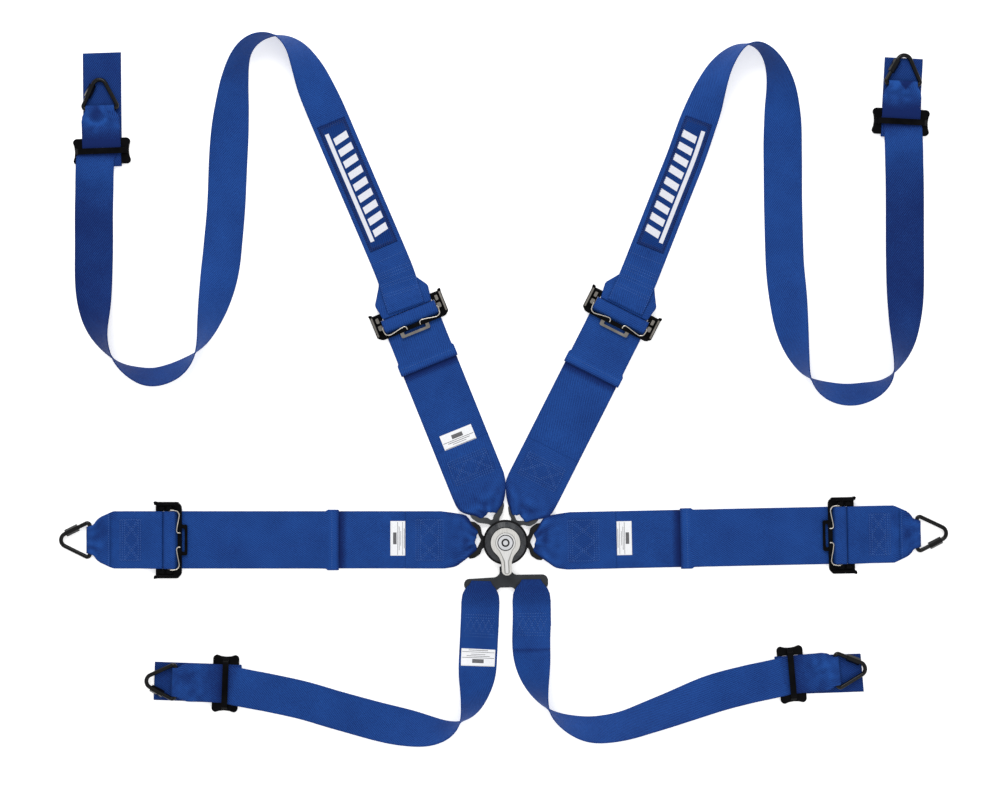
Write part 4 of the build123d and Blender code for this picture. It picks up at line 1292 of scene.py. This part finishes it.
def crotch_strap(side_name, run, anchor, side, lean):
    """Two-inch strap round the crotch tongue's bar, turned outwards and threaded at its anchor."""
    place = run[0][:3]
    path = (
        (14, 0.7), (-18, 0.7, 12), (-28, 2.4, 10), (-48.0, 2.4, 2.3), (-48.0, 7.0, 2.3),
        (-28, 7.0, 12), (-12, 2.2, 12), (0, 2.2),
    )

    half = even_half((-48, -44, -38, -30, -20), (12.8, 15.0, 20.5, 24.3, W2 / 2))
    head, fine = profile_rows(place, path, half, turned=True)
    fold = int(np.argmin(fine[:, 0]))
    layers = ((0, 1.5), (16, 1.5), (30, 0.0), (2000, 0.0))
    middle = run_rows(run, side, layers)
    rows = join(head, middle, anchor_rows(anchor, lean))
    first = len(head.points) + len(middle.points) - 1
    ruffle, anchor_tones = anchor_crumple(rows, first, anchor, CROTCH_GLOOM)
    distance = rows.axes()[0]
    start = head.axes()[0][-1]

    def tones(i, f, sign):
        """Painted shade on the fold over the tongue, and a painted shadow line where the layer underneath
        ends.
        """
        if i >= len(head.points):
            past = float(distance[i]) - start
            return anchor_tones(i, f, sign) - 0.5 * max(0.0, 1 - abs(past - CROTCH_OVERLAP) / 2.5)
        if i <= fold:
            return 0.0
        return -0.3 * share((-14 - fine[i][0]) / 20)

    routes = [[(s, -20), (s, 20)] for s in (-3, 1, 22, 26)]
    for k in range(5):
        low, high = -20 + 8 * k, -12 + 8 * k
        routes += [[(3, low), (20, high)], [(3, high), (20, low)]]
    sewn("webbing_crotch_strap_" + side_name, rows, [(strap_surface(rows, WEB / 2, start), routes)],
         "arm_crotch", tones, ruffle)
    return rows, start


# ---- hardware
TONGUE_LOW = 3.55
TONGUE_HIGH = 5.85
BLADE_ANGLES = {"shoulder_right": 62, "shoulder_left": 119, "lap_left": 180, "lap_right": 0}
CROTCH_ANGLE = 271
PIN_RING_R = 16.0
PIN_HOLE_R = 2.65

# A tongue's blade, as (distance from the buckle's axis, v, radius), and half outlines (u, v, radius)
# of its horns and window; the shoulder tongues give way to each other
BLADE = ((9.6, 2.6, 2.5), (9.6, 6.5, 3.5), (30.5, 6.5, 7))
WIDE_HORN = ((-13.0, 18.4, 8), (-4.8, 24.0, 7), (3.2, 25.2, 2.5))
LEFT_INNER_HORN = ((-13.0, 16.2, 8), (-4.8, 22.2, 7), (3.2, 23.6, 2.5))
RIGHT_INNER_HORN = ((-11.0, 13.0, 6), (-4.0, 18.2, 5), (3.2, 19.6, 2))
WIDE_WINDOW = ((-11.2, 4.6, 3), (-8.5, 10.2, 6), (-3.4, 17.6, 3))
NARROW_WINDOW = ((-10.8, 3.6, 2), (-8.0, 7.2, 4), (-3.4, 12.6, 3))
HORNS = {
    "shoulder_left": (WIDE_HORN, LEFT_INNER_HORN, WIDE_WINDOW, WIDE_WINDOW),
    "shoulder_right": (RIGHT_INNER_HORN, WIDE_HORN, NARROW_WINDOW, WIDE_WINDOW),
    "lap_left": (WIDE_HORN, WIDE_HORN, WIDE_WINDOW, WIDE_WINDOW),
    "lap_right": (WIDE_HORN, WIDE_HORN, WIDE_WINDOW, WIDE_WINDOW),
}


def tongue(name, place, arm):
    """Y-shaped tongue: blade, two curved horns and the bar inside the belt's fold."""
    hub = along(0, 0, -place[2], -place[0], -place[1])

    def blade(side):
        """One side of the blade, in the bar's (u, v)."""
        return [(*along(*hub, BLADE_ANGLES[arm] - place[2], r, side * w), bend) for r, w, bend in BLADE]

    left_horn, right_horn, left_window, right_window = HORNS[arm]
    outline = [*blade(1), *left_horn, *mirror(right_horn), *reversed(blade(-1))]
    neck = min(-12.9, 34.6 - math.hypot(*place[:2]))
    window = [(neck, 1.2, 1.2), *left_window, *mirror(right_window), (neck, -1.2, 1.2)]
    hole = pin_hole(*along(*hub, BLADE_ANGLES[arm] - place[2], PIN_RING_R))
    shape = Shape(place).plate([outline, window, hole], TONGUE_LOW, TONGUE_HIGH)
    # Shoulder tongues take the lighter copy of the tongue steel, as painted light
    material = LAP_STEEL if arm.startswith("lap") else LIT_TONGUE_STEEL
    return hardware("tongue_" + arm, shape, 0.5, material, "arm_" + arm, "tongue", name)


def crotch_plate():
    """T-shaped tongue with a slot near each end for a crotch strap."""
    foot = [(62.6, 47.5, 3), (60.6, 44, 2), (60.6, 19.0, 2), (64.0, 12.0, 3), (60.4, 8.5, 4)]
    outline = [
        (9.6, 2.6, 2.5), (9.6, 6.5, 3.5), (32.0, 6.5, 1), (33.0, 7.4, 1), (40.0, 7.6, 4), (43.6, 12.5, 7),
        (43.8, 56.0, 8), (62.8, 55.4, 6.5), *foot, *mirror(foot), (63.0, -56.2, 6.5), (48.4, -55.8, 7),
        (46.6, -13.5, 8), (42.0, -8.6, 4), (33.0, -8.6, 1), (32.0, -6.5, 1), (9.6, -6.5, 3.5),
        (9.6, -2.6, 2.5),
    ]
    slot = [(51.4, 21.5, 2), (51.4, 46.5, 2), (56.2, 46.5, 2), (56.2, 21.5, 2)]
    holes = [on_side(slot, 1), on_side(slot, -1), pin_hole(PIN_RING_R, 0)]
    shape = Shape((0, 0, CROTCH_ANGLE)).plate([outline, *holes], TONGUE_LOW, TONGUE_HIGH)
    return hardware("tongue_crotch", shape, 0.5, GREY_STEEL, "arm_crotch", "tongue", "crotch_tongue")


# An adjuster's outlines, from its lock bar: u towards the belt's end, v across
FRONT_BAR = ((-8.8, 38.0, 1), (-8.8, 43.0, 3), (-4.0, 46.0, 1), (-4.0, 49.8, 1), (-14.3, 49.8, 7.5))
REAR_BAR = ((16.2, 47.0, 1), (20.2, 47.0, 1))
RAIL = ((-11.5, 46.2, 1), (-11.5, 50.6, 3.5), (17.5, 50.6, 5), (21.6, 51.7, 1.5), (22.8, 50.4, 1),
        (21.8, 46.8, 1.5), (17.0, 46.2, 3))
RAIL_FACE = ((-8.4, 47.3, 1), (-8.4, 49.6, 1), (18.4, 49.7, 1), (18.4, 47.3, 1))
FRONT_EAR = ((-1.5, 39.3, 0.8), (-1.5, 44.6, 1.4), (5.2, 44.6, 1.4), (5.2, 39.3, 0.8))
REAR_EAR = ((8.6, 40.2, 0.8), (8.6, 44.2, 1.4), (15.6, 44.2, 1.4), (15.6, 40.2, 0.8))
TAB = ((-12.5, 20.4, 1.5), (-21.6, 20.4, 2.5))
TAB_WINDOW = ((-13.6, 15.4, 1), (-18.2, 15.4, 1.5))
SPRING = ((0.5, 39.6, 10.4), (-4.6, 39.4, 10.2), (-8.6, 38.2, 9.0), (-10.9, 34.5, 8.3), (-10.4, 28, 8.2),
          (-9.0, 21, 8.2), (-8.0, 15, 8.2), (-7.8, 11.6, 8.2), (-9.2, 9.7, 8.1), (-12.6, 9.4, 7.9))
SPRING_R = 0.8


def adjuster(name, place, at, tab_material, rear):
    """Pressed adjuster: front bar, side flanges with turned-out tips, ears, rear bar and thumb tab.
    rear is the half width of the webbing round the rear bar."""
    centre = (*along(*place, at), place[2])
    body = "arm_" + name
    floor = ((-9.5, 38.3, 0.3), (-9.5, 47.2, 1), (19.6, 47.2, 1), (19.6, 33.0, 1),
             (12.8, 33.0, 0.3), (12.8, rear, 0.3), (10.7, rear, 0.3), (10.7, 38.3, 0.3))
    frame_shape = Shape(centre).plate([mirrored(FRONT_BAR)], 3.0, 7.2).plate([mirrored(REAR_BAR)], 3.4, 6.4)
    fittings = Shape(centre).plate([mirrored(TAB), mirrored(TAB_WINDOW)], 3.6, 6.9)
    wires = Shape(centre)
    for side in (1, -1):
        frame_shape.plate([on_side(RAIL, side)], 3.0, 10.4)
        frame_shape.plate([on_side(floor, side)], 3.2, 4.8)
        fittings.plate([on_side(FRONT_EAR, side)], 4.6, 9.4)
        fittings.plate([on_side(REAR_EAR, side)], 4.6, 8.6)
        fittings.plate([on_side(RAIL_FACE, side)], 10.0, 10.9)
        wires.tube(smooth_line(on_side(SPRING, side)), SPRING_R)
    node = "adjuster_frame_" + name
    frame_piece = hardware("adjuster_body_" + name, frame_shape, 0.7, BLACK_STEEL, body, "black_steel", node)
    hardware("adjuster_fittings_" + name, fittings, 0.6, tab_material, body, "black_steel", node)
    springs = mesh_object("springs_" + name, wires.vertices, wires.faces, WIRE, body)
    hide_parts("bar_springs_" + name)
    return frame_piece


def slide(name, anchor):
    """Three-bar slide: waisted ends, a window either side, and the middle bar raised over the webbing."""
    end = [(17.2, 25.0, 6), (17.4, 37.4, 5.4), (11.8, 38.1, 4.6), (7.0, 36.4, 9), (0, 35.6, 20),
           (-7.0, 36.4, 9), (-11.8, 38.1, 4.6), (-17.4, 37.4, 5.4), (-17.2, 25.0, 6)]
    outline = [*end, *((-u, -v, r) for u, v, r in end)]
    window = ((3.6, -25.7, 2), (3.6, 25.7, 2), (12.6, 25.7, 3), (12.6, -25.7, 3))
    windows = [[(s * u, v, r) for u, v, r in window] for s in (1, -1)]
    bridge = [(35.2, 4.0, 0), (34.4, 5.4, 3), (30.0, 10.5, 6), (-30.0, 10.5, 6), (-34.4, 5.4, 3),
              (-35.2, 4.0, 0), (-28.0, 4.0, 0), (-28.0, 8.0, 1.5), (28.0, 8.0, 1.5), (28.0, 4.0, 0)]
    shape = Shape(anchor[:3]).plate([outline, *windows], 1.8, 4.6).plate([bridge], -3.85, 3.85, upright=True)
    body = "slide_" + name.replace("_", "")
    return hardware("slide_frame_" + name, shape, 0.9, BLACK_STEEL, body, "black_steel", "slide_" + name)


LEVER_TURN = -87

# Lever layers: name, material, bevel, bottom, top, head radius, the head's degrees, half the neck
LEVER_LAYERS = (
    ("blade", ALLOY, 0.9, 17.5, 20.7, 19.4, np.arange(52, 309, 4),
     ((12.0, 15.2, 0), (18.4, 9.6, 10), (25.5, 6.9, 12), (43.3, 6.7, 6.6))),
    ("crest", ALLOY_HIGHLIGHT, 0.4, 20.4, 21.5, 12.6, np.arange(42, 319, 5),
     # The crest is painted highlight; the groove is a thin plate of painted shade just above the blade's top
     ((9.4, 8.4, 0), (17.0, 4.9, 6), (24.5, 2.0, 6), (40.5, 1.9, 1.8))),
    ("groove", ALLOY_SHADE, 0.1, 20.4, 20.85, 13.5, np.arange(42, 319, 5),
     ((10.0, 9.0, 0), (17.6, 6.0, 6), (24.8, 3.7, 6), (41.6, 3.5, 3))),
)


def lever():
    """Pear-shaped release lever with a raised teardrop in a groove, the teardrop in painted highlight and the
    groove a thin plate of painted shade, and two plain rings on its cap.
    """
    for name, material, edge, low, high, radius, degrees, neck in LEVER_LAYERS:
        outline = [*arc(radius, degrees), *reversed(closed_outline(mirrored(neck)))]
        shape = Shape((0, 0, LEVER_TURN)).plate([outline], low, high)
        hardware("lever_" + name, shape, edge, material, "lever", "lever", "release_lever")
    rings = Shape()
    for inner, outer, top, count in ((9.5, 10.7, 22.62, 96), (3.3, 5.4, 22.6, 48)):
        rings.turned([(outer, 22.1), (outer, top), (inner, top), (inner, 22.1)], count)
    return hardware("lever_cap_ring", rings, 0.12, RING, "lever", "cap")


FACETS = 11
CHAMFER_ROW = 5
SLOT_HALF = 6.9
SHELL_PROFILE = (
    (26.5, 3.02), (29.5, 3.02), (29.5, 11.6), (28.4, 12.2), (27.3, 13.0), (23.6, 16.4), (20.6, 17.05),
    (19.9, 16.6), (7.2, 16.6), (7.2, 15.1), (21.0, 15.1), (21.0, 12.0), (26.5, 12.0),
)
RIM_PROFILE = (
    (26.0, 11.0), (29.8, 11.0), (29.8, 12.6), (29.2, 13.3), (27.6, 13.3), (27.2, 12.9), (26.0, 12.9),
)


def housing():
    """Buckle shell: a round wall, a many-sided chamfer and a dished top, with a slot for each tongue."""

    def radius_at(row, r, a):
        """The chamfer's upper edge is a polygon with hollow sides, so that each side reads as a facet."""
        if row != CHAMFER_ROW:
            return r
        step = 2 * math.pi / FACETS
        off = (a + 0.2) % step - step / 2
        return r * (0.87 + 0.2 * abs(2 * off / step) ** 1.5)

    shape = Shape().turned(SHELL_PROFILE, 264, radius_at)
    piece = mesh_object("housing_shell", shape.vertices, shape.faces, SHELL, "buckle")
    cutter = Shape()
    for angle in sorted((*BLADE_ANGLES.values(), CROTCH_ANGLE)):
        cutter.place = (0, 0, angle)
        slot = [(24.0, -SLOT_HALF), (34.0, -SLOT_HALF), (34.0, SLOT_HALF), (24.0, SLOT_HALF)]
        cutter.plate([slot], 2.0, 6.4)
    mesh = bpy.data.meshes.new("slots")
    mesh.from_pydata([tuple(c * MM for c in v) for v in cutter.vertices], [], cutter.faces)
    tool = bpy.data.objects.new("slots", mesh)
    bpy.context.collection.objects.link(tool)
    boolean = piece.modifiers.new("Slots", "BOOLEAN")
    boolean.operation = "DIFFERENCE"
    boolean.object = tool
    bpy.context.view_layer.objects.active = piece
    bpy.ops.object.modifier_apply(modifier="Slots")
    bpy.data.objects.remove(tool)
    piece.data.set_sharp_from_angle(angle=math.radians(20))
    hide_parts("buckle_housing")
    rim = Shape().turned(RIM_PROFILE, 144)
    hardware("housing_rim", rim, 0.25, RIM, "buckle", "housing", "buckle_housing")
    return piece


# ---- build
make_camera()
make_lights()
make_floor()

ARMS = {
    "shoulder_left": (SHOULDER_LEFT, ADJUSTER_LEFT),
    "shoulder_right": (SHOULDER_RIGHT, ADJUSTER_RIGHT),
    "lap_left": (LAP_LEFT, ADJUSTER_LAP),
    "lap_right": (LAP_RIGHT, ADJUSTER_LAP - 1),
}
# Belts: where the hem and the sewn overlap end, the stitched box, and the half widths at the tongue
BELTS = {
    "shoulder_left": (205, 92, (43, 76), taper(LEFT_INNER, SHOULDER_OUTER)),
    "shoulder_right": (205, 92, (43, 76), taper(SHOULDER_OUTER, RIGHT_INNER)),
    "lap_left": (176, 87, (37, 73), taper(LAP_UPPER, LAP_LOWER)),
    "lap_right": (187, 101, (37, 78), taper(LAP_LOWER, LAP_UPPER)),
}
# Labels on belts: centre from the tongue's bar, and size
BELT_LABELS = (
    ("shoulder_label", "shoulder_left", (100.5, 1), (24, 45)),
    ("lap_label_left", "lap_left", (97, -2), (20, 46)),
    ("lap_label_right", "lap_right", (112, 2), (20, 45)),
)
SLIDES = {
    "shoulder_left": ANCHOR_SHOULDER_LEFT,
    "shoulder_right": ANCHOR_SHOULDER_RIGHT,
    "crotch_left": ANCHOR_CROTCH_LEFT,
    "crotch_right": ANCHOR_CROTCH_RIGHT,
}

for arm, (place, at) in ARMS.items():
    belt("webbing_" + arm.replace("_", "_belt_"), place, at, *BELTS[arm], "arm_" + arm)
anchor_band("webbing_lap_anchor_left", *ARMS["lap_left"], LAP_BAR_LEFT, "arm_lap_left")
anchor_band("webbing_lap_anchor_right", *ARMS["lap_right"], LAP_BAR_RIGHT, "arm_lap_right")
shoulder_strap("left", *ARMS["shoulder_left"], LOOP_LEFT, ANCHOR_SHOULDER_LEFT, 1, -4.0, (88, 269, 19.6))
shoulder_strap("right", *ARMS["shoulder_right"], LOOP_RIGHT, ANCHOR_SHOULDER_RIGHT, -1, 0.0, (86, 270, 19.0))
crotch_rows, crotch_start = crotch_strap("left", CROTCH_LEFT_RUN, ANCHOR_CROTCH_LEFT, -1, 0.0)
crotch_strap("right", CROTCH_RIGHT_RUN, ANCHOR_CROTCH_RIGHT, 1, -6.0)

for name, arm, centre, size in BELT_LABELS:
    belt_label(name, ARMS[arm][0], centre, size, "arm_" + arm)
middle = crotch_start + CROTCH_LABEL_AT
label("crotch_label", strap_surface(crotch_rows, (WEB + LABEL_THICK) / 2, middle),
      strap_surface(crotch_rows, WEB / 2 + LABEL_THICK, middle), (23, 45), "arm_crotch")

for arm, (place, at) in ARMS.items():
    tongue(arm.replace("_", "_tongue_"), place, arm)
crotch_plate()
for arm, (place, at) in ARMS.items():
    if arm.startswith("shoulder"):
        adjuster(arm, place, at, RAIL_STEEL, 35.2)
    else:
        adjuster(arm, place, at, BLACK_STEEL, FULL + 0.1)
for name, anchor in SLIDES.items():
    slide(name, anchor)
lever()
housing()

FINISHES = (
    (("buckle_base", "buckle_screws", "pivot_post", "lock_plate", "cam_disc", "plate_spring"), ZINC),
    (("lever_cap",), CAP),
    (("lock_bar",), RAIL_STEEL),
    (("link_", "sleeve_"), LINK_STEEL),
)
for node_name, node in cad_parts.items():
    for prefixes, material in FINISHES:
        if node_name.startswith(prefixes):
            for material_slot in node.material_slots:
                material_slot.material = material

bpy.context.scene.view_settings.view_transform = "Standard"
